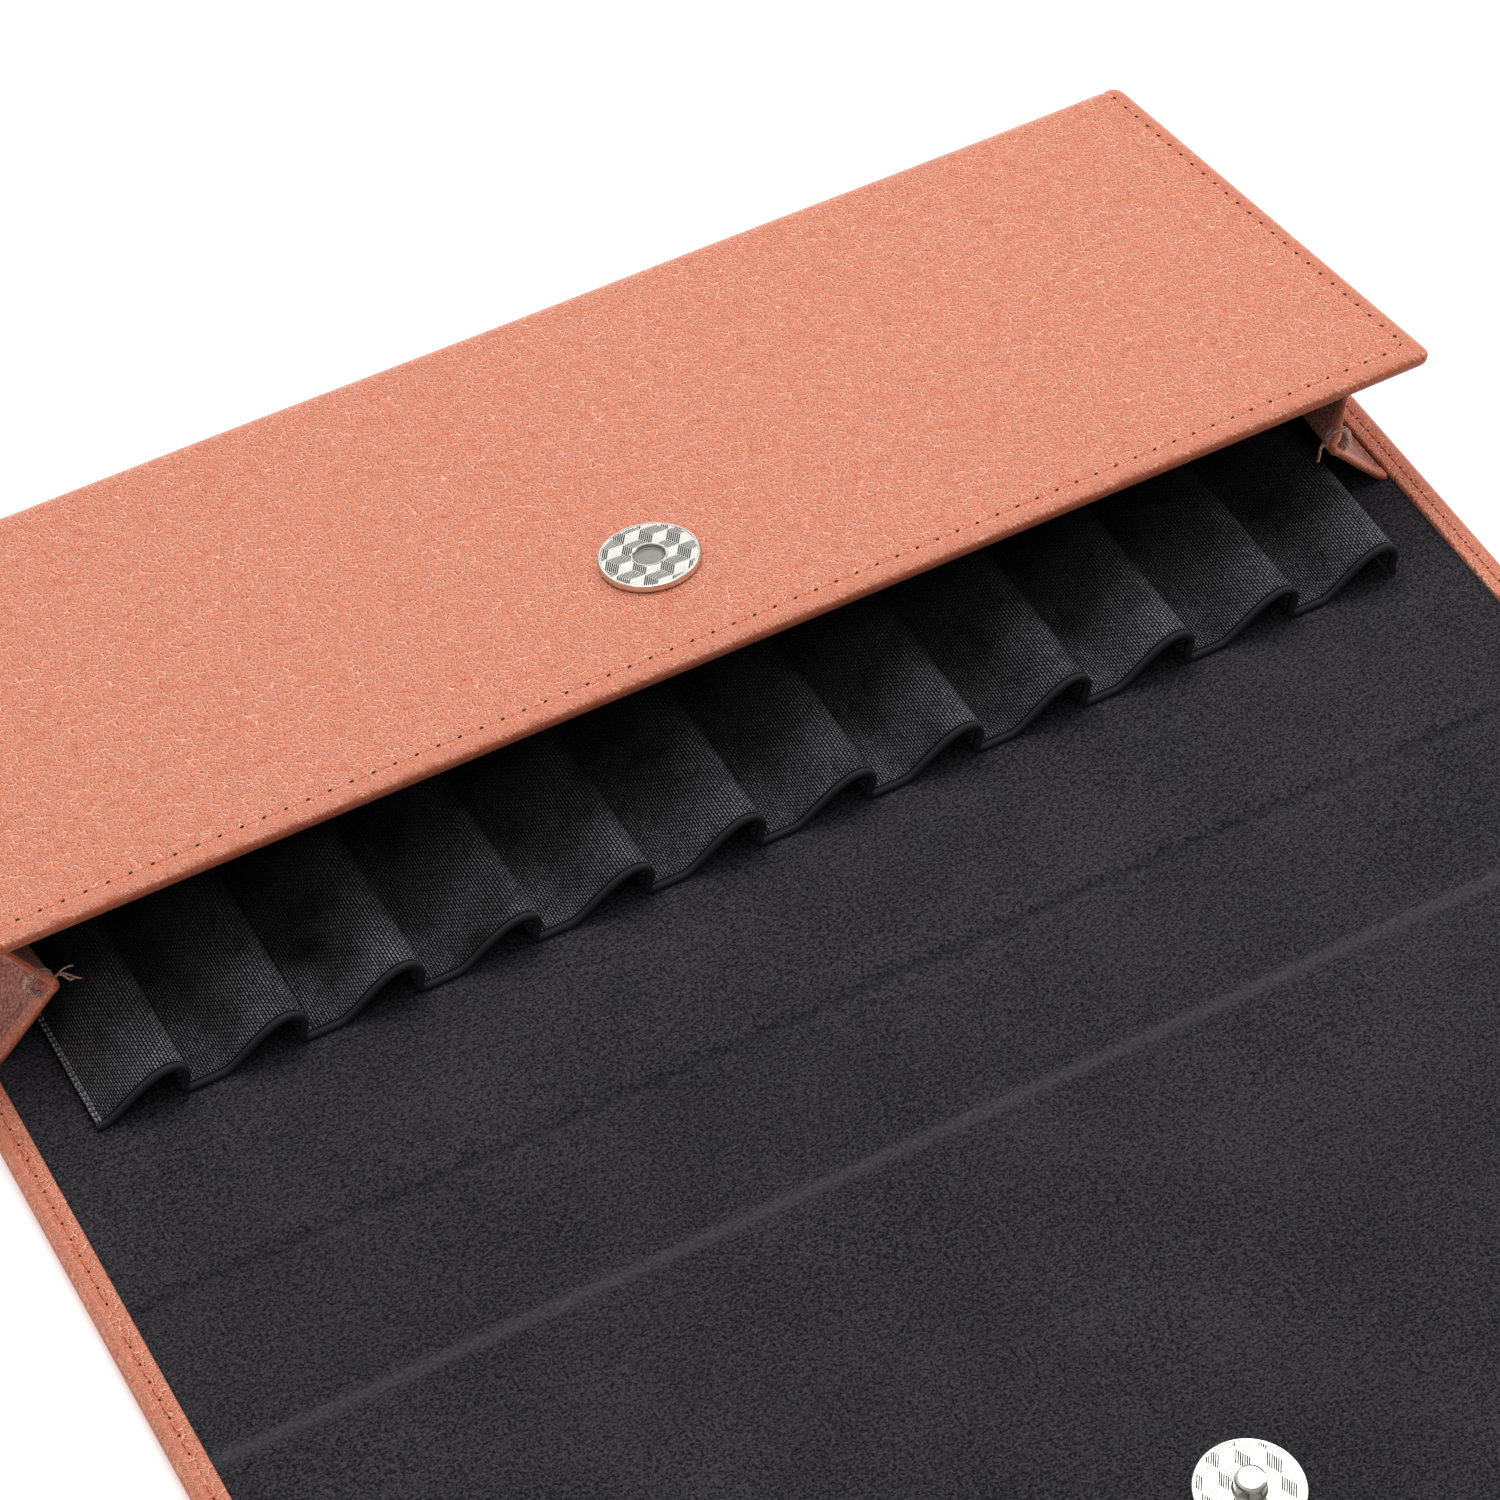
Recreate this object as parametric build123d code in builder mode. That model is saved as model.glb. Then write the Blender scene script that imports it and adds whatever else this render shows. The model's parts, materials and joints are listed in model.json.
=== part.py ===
from build123d import *
from math import cos, radians, sin, tan
import os

# Fountain pen case, lying open on its back, in millimetres.
# X runs across the case, Y from the flap's free end to the bottom fold, Z up from the table.

# ---- driving dimensions ----
CASE_WIDTH = 286.0
FLAP_LENGTH = 110.0
SPINE_WIDTH = 31.6           # between the two creases: the thickness of the closed case
BACK_LENGTH = 155.6          # from the first crease to the axis of the bottom fold
FRONT_LENGTH = 103.8         # from the bottom fold to the mouth, along the panel
FRONT_TILT = 10.54           # degrees between the back and the open front panel
BEND_RADIUS = 7.0            # outside of the bottom fold

LEATHER = 1.2
BOARD = 0.8
LINING = 0.6
TURNED_EDGE = 1.0            # leather pared thin and turned over the lining
TURNED_WIDTH = 5.4
EDGE_SEAM = 3.0              # seam to side edge
MOUTH_SEAM = 4.2             # seam to mouth edge and to flap end
THREAD = 0.5
THREAD_RISE = 0.25
CORNER_RADIUS = 1.5

CREASE_GAP = 1.2             # turned edges stop this far from a crease
BOARD_GAP = 0.8              # boards stop this far from a crease
FOLD_AXIS_LIFT = 0.2         # crease axis above the lining
PANEL_SWING_GAP = 5.0        # degrees left open between bottom fold and front panel

LOOP_COUNT = 12
LOOP_PITCH = 21.48
LOOP_BASE = 16.3
BAND_WIDTH = 75.0
BAND_THICKNESS = 1.2
BAND_SHIFT = -1.2            # the band sits a little left of the middle
BAND_TO_CREASE = 34.7        # hem of the band to the first crease
LOOP_HEIGHT = 8.9

GUSSET_THICKNESS = 1.0
GUSSET_HINGE_X = 137.0
GUSSET_HINGE_LIFT = 1.5      # hinge line above the lining
GUSSET_MOUTH_GAP = 1.0
GUSSET_SET_BACK = 10.0
GUSSET_ANGLE = 42.8          # degrees between the gusset's lower half and the back
GUSSET_BOTTOM_GAP = 6.0      # gusset's lower end to the axis of the bottom fold
FOLD_CLEARANCE = 0.4         # between a gusset half and the middle of its fold
TACK_LENGTH = 3.2
TACK_WIDTH = 1.2
TACK_TO_FOLD = 4.0

SNAP_DIAMETER = 18.0
SNAP_HEIGHT = 1.5
SNAP_HOLE = 5.7
SNAP_SKIN = 0.35             # sheet metal of the snap's cap
SNAP_TO_MOUTH = 27.65
MAGNET_DIAMETER = 16.8
MAGNET_BORE = 7.0
MAGNET_HEIGHT = 0.75
STUD_DIAMETER = 5.2
STUD_HEIGHT = 3.0
WASHER_DIAMETER = 14.0
WASHER_HEIGHT = 0.5
PRONG_SPACING = 9.0
PRONG_WIDTH = 2.4
PRONG_THICKNESS = 0.4
FIT_GAP = 0.1

# ---- places worked out from them ----
STACK = LEATHER + BOARD + LINING
EDGE_HEIGHT = STACK + TURNED_EDGE
HALF_WIDTH = CASE_WIDTH / 2
TILT = radians(FRONT_TILT)
CASE_LENGTH = FLAP_LENGTH + SPINE_WIDTH + BACK_LENGTH + BEND_RADIUS
BEND_Y = CASE_LENGTH / 2 - BEND_RADIUS
CREASE_Y = BEND_Y - BACK_LENGTH
FLAP_CREASE_Y = CREASE_Y - SPINE_WIDTH
FOLD_AXIS_Z = STACK + FOLD_AXIS_LIFT
BAND_Y = CREASE_Y + BAND_TO_CREASE
MOUTH_Y = BEND_Y + BEND_RADIUS * sin(TILT) - FRONT_LENGTH * cos(TILT)
SNAP_ON_FRONT = FRONT_LENGTH - SNAP_TO_MOUTH
SNAP_Y = BEND_Y + BEND_RADIUS * sin(TILT) - SNAP_ON_FRONT * cos(TILT)
SNAP_ON_FLAP = SNAP_Y - CREASE_Y

# Each panel has a plane on its outer face: local y runs along the panel, local z into the case.
back_plane = Plane(origin=(0, CREASE_Y, 0), x_dir=(1, 0, 0), z_dir=(0, 0, 1))
spine_plane = Plane(origin=(0, CREASE_Y, 0), x_dir=(-1, 0, 0), z_dir=(0, 0, 1))
flap_plane = Plane(origin=(0, FLAP_CREASE_Y, 0), x_dir=(-1, 0, 0), z_dir=(0, 0, 1))
front_plane = Plane(
    origin=(0, BEND_Y + BEND_RADIUS * sin(TILT), BEND_RADIUS + BEND_RADIUS * cos(TILT)),
    x_dir=(1, 0, 0),
    z_dir=(0, -sin(TILT), -cos(TILT)),
)
# Half-way between the back and the front panel: the gussets fold along this plane.
middle_plane = Plane(
    origin=(0, BEND_Y, BEND_RADIUS),
    x_dir=(1, 0, 0),
    z_dir=(0, sin(TILT / 2), cos(TILT / 2)),
)

os.makedirs("parts", exist_ok=True)


def save(piece, name):
    """Label a finished piece and write it."""
    piece.part.label = name
    export_step(piece.part, f"parts/{name}.step")


def washer_level(on_flap):
    """Height of a snap's washer above its panel's outer face."""
    return LEATHER if on_flap else LEATHER + BOARD - WASHER_HEIGHT


def frame_sketch(length, start, end, border, end_border):
    """Side strips of a panel, joined by a strip along its free end when end_border is over 0."""
    with Locations((0, (start + length - end) / 2)):
        Rectangle(CASE_WIDTH, length - start - end)
    if end_border > 0:
        fillet(vertices().group_by(Axis.Y)[-1], CORNER_RADIUS)
    with Locations((0, (length - end - end_border) / 2)):
        Rectangle(CASE_WIDTH - 2 * border, length - end - end_border, mode=Mode.SUBTRACT)


def prongs(y, clearance=0.0, mode=Mode.ADD):
    """The two prongs of a snap at local y, or with a clearance their slots, in the current sketch."""
    with Locations((0, y)):
        with GridLocations(PRONG_SPACING, 0, 2, 1):
            Rectangle(PRONG_THICKNESS + clearance, PRONG_WIDTH + clearance, mode=mode)


def make_panel(name, plane, length, start_gap, end_gap, free_end, socket_y=None, stud_y=None):
    """Leather, board and lining of one panel.

    The leather is one sheet turned over the board and the lining at both sides, and at the
    free end when there is one. start_gap and end_gap keep the turned edges off the creases.
    A socket stands on the leather and a stud on the lining: each has slots for its prongs,
    and a round pocket in the far face of the board for its washer.
    """
    snap_y = stud_y if socket_y is None else socket_y
    end_turn = TURNED_WIDTH if free_end else 0
    end_wall = LEATHER if free_end else 0
    with BuildPart() as leather:
        with BuildSketch(plane):
            with Locations((0, length / 2)):
                Rectangle(CASE_WIDTH, length)
            if free_end:
                fillet(vertices().group_by(Axis.Y)[-1], CORNER_RADIUS)
            if socket_y is not None:
                prongs(socket_y, FIT_GAP, Mode.SUBTRACT)
        extrude(amount=LEATHER)
        with BuildSketch(plane):
            frame_sketch(length, start_gap, end_gap, LEATHER, end_wall)
        extrude(amount=EDGE_HEIGHT)
        with BuildSketch(plane.offset(STACK)):
            frame_sketch(length, start_gap, end_gap, TURNED_WIDTH, end_turn)
        extrude(amount=TURNED_EDGE)
    save(leather, f"{name}_leather")

    board_start = BOARD_GAP if start_gap > 0 else 0
    board_end = BOARD_GAP if end_gap > 0 else end_wall
    with BuildPart() as board:
        with BuildSketch(plane.offset(LEATHER)):
            with Locations((0, (board_start + length - board_end) / 2)):
                Rectangle(CASE_WIDTH - 2 * LEATHER, length - board_start - board_end)
            if snap_y is not None:
                prongs(snap_y, FIT_GAP, Mode.SUBTRACT)
        extrude(amount=BOARD)
        if snap_y is not None:
            with BuildSketch(plane.offset(washer_level(stud_y is not None))):
                with Locations((0, snap_y)):
                    Circle(WASHER_DIAMETER / 2 + FIT_GAP)
            extrude(amount=WASHER_HEIGHT, mode=Mode.SUBTRACT)
    save(board, f"{name}_board")

    with BuildPart() as lining:
        with BuildSketch(plane.offset(LEATHER + BOARD)):
            with Locations((0, (length - end_wall) / 2)):
                Rectangle(CASE_WIDTH - 2 * LEATHER, length - end_wall)
            if stud_y is not None:
                prongs(stud_y, FIT_GAP, Mode.SUBTRACT)
        extrude(amount=LINING)
    save(lining, f"{name}_lining")


def make_seam(name, plane, level, rise, start, end, end_seam):
    """Seam thread along both sides, and across the free end when end_seam is over 0."""
    with BuildPart() as seam:
        with BuildSketch(plane.offset(level)):
            with Locations((0, (start + end) / 2)):
                with GridLocations(CASE_WIDTH - 2 * EDGE_SEAM, 0, 2, 1):
                    Rectangle(THREAD, end - start)
            if end_seam > 0:
                with Locations((0, end_seam)):
                    Rectangle(CASE_WIDTH - 2 * EDGE_SEAM + THREAD, THREAD)
        extrude(amount=rise)
    save(seam, name)


# ---- the four panels ----
make_panel("back", back_plane, BACK_LENGTH, CREASE_GAP, 0, free_end=False)
make_panel("spine", spine_plane, SPINE_WIDTH, CREASE_GAP, CREASE_GAP, free_end=False)
make_panel("flap", flap_plane, FLAP_LENGTH, CREASE_GAP, 0, free_end=True, stud_y=SNAP_ON_FLAP)
make_panel("front", front_plane, FRONT_LENGTH, 0, 0, free_end=True, socket_y=SNAP_ON_FRONT)

# ---- seams, on the lining side of the turned edges and on the outside of the front panel ----
SEAM_START = 2 * CREASE_GAP
BACK_SEAM_END = BACK_LENGTH - BEND_RADIUS
make_seam("back_edge_thread", back_plane, EDGE_HEIGHT, THREAD_RISE, SEAM_START, BACK_SEAM_END, 0)
SPINE_SEAM_END = SPINE_WIDTH - SEAM_START
make_seam("spine_edge_thread", spine_plane, EDGE_HEIGHT, THREAD_RISE, SEAM_START, SPINE_SEAM_END, 0)
FLAP_SEAM_END = FLAP_LENGTH - MOUTH_SEAM
make_seam("flap_edge_thread", flap_plane, EDGE_HEIGHT, THREAD_RISE, SEAM_START, FLAP_SEAM_END, FLAP_SEAM_END)
FRONT_SEAM_END = FRONT_LENGTH - MOUTH_SEAM
make_seam("front_edge_thread", front_plane, 0, -THREAD_RISE, SEAM_START, FRONT_SEAM_END, FRONT_SEAM_END)

# ---- bottom fold: leather and lining bent from the back towards the front panel ----
FOLD_SWEEP = 180 - FRONT_TILT - PANEL_SWING_GAP


def make_bottom_fold(name, outer_radius, thickness, width):
    """Part of a tube about the axis of the bottom fold, from the back round to the front."""
    with BuildPart() as fold:
        with BuildSketch(Plane.YZ.offset(-width / 2)):
            with BuildLine():
                outer = CenterArc((BEND_Y, BEND_RADIUS), outer_radius, -90, FOLD_SWEEP)
                inner = CenterArc((BEND_Y, BEND_RADIUS), outer_radius - thickness, -90, FOLD_SWEEP)
                Line(outer @ 0, inner @ 0)
                Line(outer @ 1, inner @ 1)
            make_face()
        extrude(amount=width)
    save(fold, name)


make_bottom_fold("bottom_fold_leather", BEND_RADIUS, LEATHER, CASE_WIDTH)
make_bottom_fold("bottom_fold_lining", BEND_RADIUS - LEATHER, LINING, CASE_WIDTH - 2 * LEATHER)

# ---- elastic band: one band sewn down between the loops, a node for each loop ----
BAND_LENGTH = (LOOP_COUNT - 1) * LOOP_PITCH + LOOP_BASE
BAND_START = BAND_SHIFT - BAND_LENGTH / 2
FLAT = LOOP_PITCH - LOOP_BASE
HEEL_OVERHANG = 0.6
BAND_END = 0.1
# shares of a loop's base and height where its outline passes
CROWN_AT = 0.78
RISE_AT = 0.40
HEEL_LEVEL = 0.62
RISE_LEVEL = 0.44
# the inside of the rise, as shares of the band's thickness across and down from its outside
RISE_ACROSS = 0.66
RISE_DOWN = 0.75
band_plane = Plane.XZ.offset(-(BAND_Y + BAND_WIDTH))

for number in range(LOOP_COUNT):
    foot = BAND_START + number * LOOP_PITCH
    # the flat beside the loop is sewn down; the last loop ends the band
    tail = FLAT if number < LOOP_COUNT - 1 else BAND_END
    crown_x = foot + CROWN_AT * LOOP_BASE
    rise_x = foot + RISE_AT * LOOP_BASE
    heel_x = foot + LOOP_BASE + HEEL_OVERHANG
    heel_z = STACK + HEEL_LEVEL * LOOP_HEIGHT
    rise_z = STACK + RISE_LEVEL * LOOP_HEIGHT
    # the loop leans over towards +X; its inside is one band's thickness within its outside
    with BuildPart() as loop:
        with BuildSketch(band_plane):
            with BuildLine():
                outside = Spline(
                    (foot, STACK + BAND_THICKNESS),
                    (rise_x, rise_z),
                    (crown_x, STACK + LOOP_HEIGHT),
                    (heel_x, heel_z),
                    (foot + LOOP_BASE, STACK + BAND_THICKNESS),
                    tangents=((1, 0.1), (-0.3, -1)),
                )
                inside = Spline(
                    (foot + BAND_THICKNESS, STACK),
                    (rise_x + RISE_ACROSS * BAND_THICKNESS, rise_z - RISE_DOWN * BAND_THICKNESS),
                    (crown_x, STACK + LOOP_HEIGHT - BAND_THICKNESS),
                    (heel_x - BAND_THICKNESS, heel_z),
                    (foot + LOOP_BASE - BAND_THICKNESS, STACK),
                    tangents=((1, 0.1), (-0.2, -1)),
                )
                Polyline(inside @ 0, (foot, STACK), outside @ 0)
                Polyline(
                    outside @ 1,
                    (foot + LOOP_BASE + tail, STACK + BAND_THICKNESS),
                    (foot + LOOP_BASE + tail, STACK),
                    inside @ 1,
                )
            make_face()
        extrude(amount=BAND_WIDTH)
    save(loop, f"pen_loop_{number + 1:02d}")

# ---- tack seams that hold the band down between the loops ----
with BuildPart() as tacks:
    with BuildSketch(Plane.XY.offset(STACK + BAND_THICKNESS)):
        for number in range(LOOP_COUNT - 1):
            tack_x = BAND_START + number * LOOP_PITCH + LOOP_BASE + FLAT / 2
            with Locations((tack_x, BAND_Y + BAND_WIDTH / 2)):
                Rectangle(THREAD, BAND_WIDTH - 2 * THREAD)
    extrude(amount=THREAD_RISE)
save(tacks, "loop_tack_thread")

# ---- gussets: each side folds inwards along its middle ----
PHI = radians(GUSSET_ANGLE)
GUSSET_HINGE_Z = STACK + GUSSET_HINGE_LIFT
GUSSET_END_Y = BEND_Y - GUSSET_BOTTOM_GAP
GUSSET_START_Y = MOUTH_Y + GUSSET_MOUTH_GAP


def gusset_width(y):
    """Width of a gusset half at y, short of the middle fold by its clearance."""
    middle_z = BEND_RADIUS + (BEND_Y - y) * tan(TILT / 2)
    edge = GUSSET_THICKNESS / 2 * cos(PHI) + FOLD_CLEARANCE
    return (middle_z - GUSSET_HINGE_Z - edge) / sin(PHI)


gusset_plane = Plane(
    origin=(GUSSET_HINGE_X, 0, GUSSET_HINGE_Z),
    x_dir=(-cos(PHI), 0, sin(PHI)),
    z_dir=(-sin(PHI), 0, -cos(PHI)),
)


def make_gusset_half(set_back):
    """Right-hand half in the lower place; its mouth edge is set back by set_back at the hinge."""
    with BuildPart() as half:
        with BuildSketch(gusset_plane):
            with BuildLine():
                Polyline(
                    (0, GUSSET_START_Y + set_back),
                    (gusset_width(GUSSET_START_Y), GUSSET_START_Y),
                    (gusset_width(GUSSET_END_Y), GUSSET_END_Y),
                    (0, GUSSET_END_Y),
                    close=True,
                )
            make_face()
        extrude(amount=GUSSET_THICKNESS / 2, both=True)
    return half


right_lower = make_gusset_half(0)
save(right_lower, "gusset_right_lower")

# the upper half is cut back under the front panel
upper_blank = make_gusset_half(GUSSET_SET_BACK)
with BuildPart() as right_upper:
    mirror(upper_blank.part, about=middle_plane)
save(right_upper, "gusset_right_upper")

with BuildPart() as left_lower:
    mirror(right_lower.part, about=Plane.YZ)
save(left_lower, "gusset_left_lower")

with BuildPart() as left_upper:
    mirror(right_upper.part, about=Plane.YZ)
save(left_upper, "gusset_left_upper")

# bar tack of thread near the fold, at the mouth of each gusset, on its upper half
with BuildPart() as tack_below:
    with BuildSketch(gusset_plane.offset(GUSSET_THICKNESS / 2)):
        mouth_width = gusset_width(GUSSET_START_Y)
        tack_x = mouth_width - TACK_TO_FOLD
        edge_y = GUSSET_START_Y + GUSSET_SET_BACK * (TACK_TO_FOLD + TACK_LENGTH / 2) / mouth_width
        with Locations((tack_x, edge_y + TACK_WIDTH)):
            Rectangle(TACK_LENGTH, TACK_WIDTH)
    extrude(amount=THREAD)

with BuildPart() as right_tack:
    mirror(tack_below.part, about=middle_plane)
save(right_tack, "gusset_right_tack")

with BuildPart() as left_tack:
    mirror(right_tack.part, about=Plane.YZ)
save(left_tack, "gusset_left_tack")

# ---- magnetic snap: socket with a ring magnet on the front panel, stud on the flap ----


def make_washer(name, plane, y, on_flap):
    """Washer behind the board, gripped by the prongs."""
    with BuildPart() as washer:
        with BuildSketch(plane.offset(washer_level(on_flap))):
            with Locations((0, y)):
                Circle(WASHER_DIAMETER / 2)
            prongs(y, FIT_GAP, Mode.SUBTRACT)
        extrude(amount=WASHER_HEIGHT)
    save(washer, name)


snap_face = front_plane.offset(-SNAP_HEIGHT)
with BuildPart() as socket:
    with BuildSketch(snap_face):
        with Locations((0, SNAP_ON_FRONT)):
            Circle(SNAP_DIAMETER / 2)
    extrude(amount=SNAP_HEIGHT)
    chamfer(socket.faces().sort_by(Axis((0, 0, 0), (0, -sin(TILT), -cos(TILT))))[0].edges(), SNAP_SKIN / 2)
    with BuildSketch(snap_face):
        with Locations((0, SNAP_ON_FRONT)):
            Circle(SNAP_HOLE / 2)
    extrude(amount=SNAP_HEIGHT - SNAP_SKIN, mode=Mode.SUBTRACT)
    # room for the ring magnet under the cap
    with BuildSketch(front_plane.offset(-SNAP_SKIN)):
        with Locations((0, SNAP_ON_FRONT)):
            Circle(MAGNET_DIAMETER / 2 + FIT_GAP)
            Circle(MAGNET_BORE / 2 - FIT_GAP, mode=Mode.SUBTRACT)
    extrude(amount=-MAGNET_HEIGHT, mode=Mode.SUBTRACT)
    with BuildSketch(front_plane):
        prongs(SNAP_ON_FRONT)
    extrude(amount=LEATHER + BOARD)
save(socket, "snap_socket")

with BuildPart() as magnet:
    with BuildSketch(front_plane.offset(-SNAP_SKIN)):
        with Locations((0, SNAP_ON_FRONT)):
            Circle(MAGNET_DIAMETER / 2)
            Circle(MAGNET_BORE / 2, mode=Mode.SUBTRACT)
    extrude(amount=-MAGNET_HEIGHT)
save(magnet, "snap_magnet")
make_washer("snap_socket_washer", front_plane, SNAP_ON_FRONT, on_flap=False)

with BuildPart() as stud:
    with BuildSketch(flap_plane.offset(STACK)):
        with Locations((0, SNAP_ON_FLAP)):
            Circle(SNAP_DIAMETER / 2)
    extrude(amount=SNAP_HEIGHT)
    chamfer(stud.faces().sort_by(Axis.Z)[-1].edges(), SNAP_SKIN / 2)
    with BuildSketch(flap_plane.offset(STACK + SNAP_HEIGHT)):
        with Locations((0, SNAP_ON_FLAP)):
            Circle(STUD_DIAMETER / 2)
    extrude(amount=STUD_HEIGHT)
    chamfer(stud.faces().sort_by(Axis.Z)[-1].edges(), SNAP_SKIN)
    with BuildSketch(flap_plane.offset(STACK)):
        prongs(SNAP_ON_FLAP)
    extrude(amount=-(LINING + BOARD))
save(stud, "snap_stud")
make_washer("snap_stud_washer", flap_plane, SNAP_ON_FLAP, on_flap=True)
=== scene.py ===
"""A fountain pen case of pebbled leather, lying open on its back.

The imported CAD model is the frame: every size and place comes from it. The leather, the suede
lining, the elastic pen loops, the gussets, the seams and the magnetic snap are made here.
"""

import json
import logging
import math
from dataclasses import dataclass, field
from enum import Enum
from typing import Callable, Iterable, Optional, Sequence

import bmesh
import bpy
import numpy as np
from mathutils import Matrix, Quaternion, Vector

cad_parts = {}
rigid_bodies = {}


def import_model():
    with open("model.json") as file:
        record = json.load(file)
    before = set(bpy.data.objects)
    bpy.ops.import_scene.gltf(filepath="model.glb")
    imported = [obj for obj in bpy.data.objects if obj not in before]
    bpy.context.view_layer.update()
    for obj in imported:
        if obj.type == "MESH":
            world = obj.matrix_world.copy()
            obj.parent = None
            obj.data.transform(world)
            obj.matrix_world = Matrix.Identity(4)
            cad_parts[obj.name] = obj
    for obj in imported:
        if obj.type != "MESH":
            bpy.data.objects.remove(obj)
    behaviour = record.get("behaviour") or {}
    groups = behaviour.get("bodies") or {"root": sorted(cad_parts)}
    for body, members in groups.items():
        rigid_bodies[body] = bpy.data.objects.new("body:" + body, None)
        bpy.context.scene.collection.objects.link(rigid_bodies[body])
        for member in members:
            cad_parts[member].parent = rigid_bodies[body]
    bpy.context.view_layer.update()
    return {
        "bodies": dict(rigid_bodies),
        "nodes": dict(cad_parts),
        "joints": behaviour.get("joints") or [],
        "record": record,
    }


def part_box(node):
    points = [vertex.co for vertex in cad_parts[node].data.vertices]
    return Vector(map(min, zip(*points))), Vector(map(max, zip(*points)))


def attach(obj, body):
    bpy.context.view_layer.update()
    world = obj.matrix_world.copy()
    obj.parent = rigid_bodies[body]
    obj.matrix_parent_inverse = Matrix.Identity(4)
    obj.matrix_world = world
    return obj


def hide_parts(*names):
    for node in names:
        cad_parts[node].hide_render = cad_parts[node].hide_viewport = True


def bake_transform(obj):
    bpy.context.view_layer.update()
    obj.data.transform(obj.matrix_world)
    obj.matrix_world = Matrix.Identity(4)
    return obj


MM = 0.001
log = logging.getLogger("pen_case")
Array = np.ndarray


# ------------------------------------------------------------------ node trees


class Tree:
    """Short hand for building a shader or geometry node tree."""

    def __init__(self, tree: bpy.types.NodeTree) -> None:
        """Wrap a node tree."""
        self.tree = tree

    def add(self, kind: str, settings: Optional[dict] = None, **inputs) -> bpy.types.Node:
        """Add a node.

        Args:
            kind: The node's type name.
            settings: Properties of the node itself.
            inputs: Socket values or sockets to link, by socket name with _ for a space,
                or by index as i0, i1.

        Returns:
            The new node.
        """
        node = self.tree.nodes.new(kind)
        for key, value in (settings or {}).items():
            setattr(node, key, value)
        for key, value in inputs.items():
            is_index = key[0] == "i" and key[1:].isdigit()
            socket = node.inputs[int(key[1:])] if is_index else node.inputs[key.replace("_", " ")]
            self.feed(socket, value)
        return node

    def feed(self, socket: bpy.types.NodeSocket, value) -> None:
        """Link a socket, or set its value."""
        if isinstance(value, bpy.types.NodeSocket):
            self.tree.links.new(value, socket)
        else:
            socket.default_value = value

    def math(self, operation: str, first, second=0.0) -> bpy.types.NodeSocket:
        """Return the result of a Math node."""
        return self.add("ShaderNodeMath", {"operation": operation}, i0=first, i1=second).outputs[0]

    def ramp(self, factor, stops: Sequence[tuple]) -> bpy.types.NodeSocket:
        """Return the colour of a ramp with (position, colour) stops."""
        node = self.add("ShaderNodeValToRGB", Fac=factor)
        elements = node.color_ramp.elements
        for index, (position, colour) in enumerate(stops):
            element = elements[index] if index < 2 else elements.new(position)
            element.position = position
            element.color = (*colour, 1.0)
        return node.outputs["Color"]

    def mix(self, factor, first, second, blend: str = "MIX") -> bpy.types.NodeSocket:
        """Return a mix of two colours."""
        node = self.add("ShaderNodeMix", {"data_type": "RGBA", "blend_type": blend})
        self.feed(node.inputs[0], factor)
        for socket, value in ((node.inputs[6], first), (node.inputs[7], second)):
            self.feed(socket, (*value, 1.0) if isinstance(value, tuple) and len(value) == 3 else value)
        return node.outputs[2]

    def smooth_step(self, value, low: float, high: float) -> bpy.types.NodeSocket:
        """Return 0 below low and 1 above high, smooth between them."""
        node = self.add("ShaderNodeMapRange", {"interpolation_type": "SMOOTHSTEP"})
        self.feed(node.inputs["Value"], value)
        self.feed(node.inputs["From Min"], low)
        self.feed(node.inputs["From Max"], high)
        return node.outputs["Result"]


# ------------------------------------------------------------------ finishes


def srgb(red: int, green: int, blue: int) -> tuple[float, float, float]:
    """Turn display values from 0 to 255 into linear colour."""
    return tuple(
        v / 12.92 if v <= 0.04045 else ((v + 0.055) / 1.055) ** 2.4
        for v in (red / 255, green / 255, blue / 255)
    )


@dataclass(frozen=True)
class Finish:
    """A material with its name and the values that sit on the shader itself."""

    name: str
    roughness: float = 0.5
    metallic: float = 0.0
    specular: float = 0.5
    sheen: float = 0.0
    sheen_roughness: float = 0.5
    coat: float = 0.0

    def make(self) -> bpy.types.Material:
        """Build the material.

        Returns:
            The material, with its surface dressed by paint().
        """
        material = bpy.data.materials.new(self.name)
        material.use_nodes = True
        tree = Tree(material.node_tree)
        shader = material.node_tree.nodes["Principled BSDF"]
        shader.inputs["Roughness"].default_value = self.roughness
        shader.inputs["Metallic"].default_value = self.metallic
        shader.inputs["Specular IOR Level"].default_value = self.specular
        shader.inputs["Sheen Weight"].default_value = self.sheen
        shader.inputs["Sheen Roughness"].default_value = self.sheen_roughness
        shader.inputs["Coat Weight"].default_value = self.coat
        self.paint(tree, shader)
        return material

    def paint(self, tree: Tree, shader: bpy.types.Node) -> None:
        """Dress the shader; each finish has its own."""
        raise NotImplementedError

    def bump(
        self, tree: Tree, shader: bpy.types.Node, height, distance: float, strength: float = 1.0
    ) -> None:
        """Raise the surface by a height from 0 to 1 times distance, in metres."""
        node = tree.add("ShaderNodeBump", Strength=strength, Distance=distance, Height=height)
        tree.feed(shader.inputs["Normal"], node.outputs["Normal"])


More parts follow.
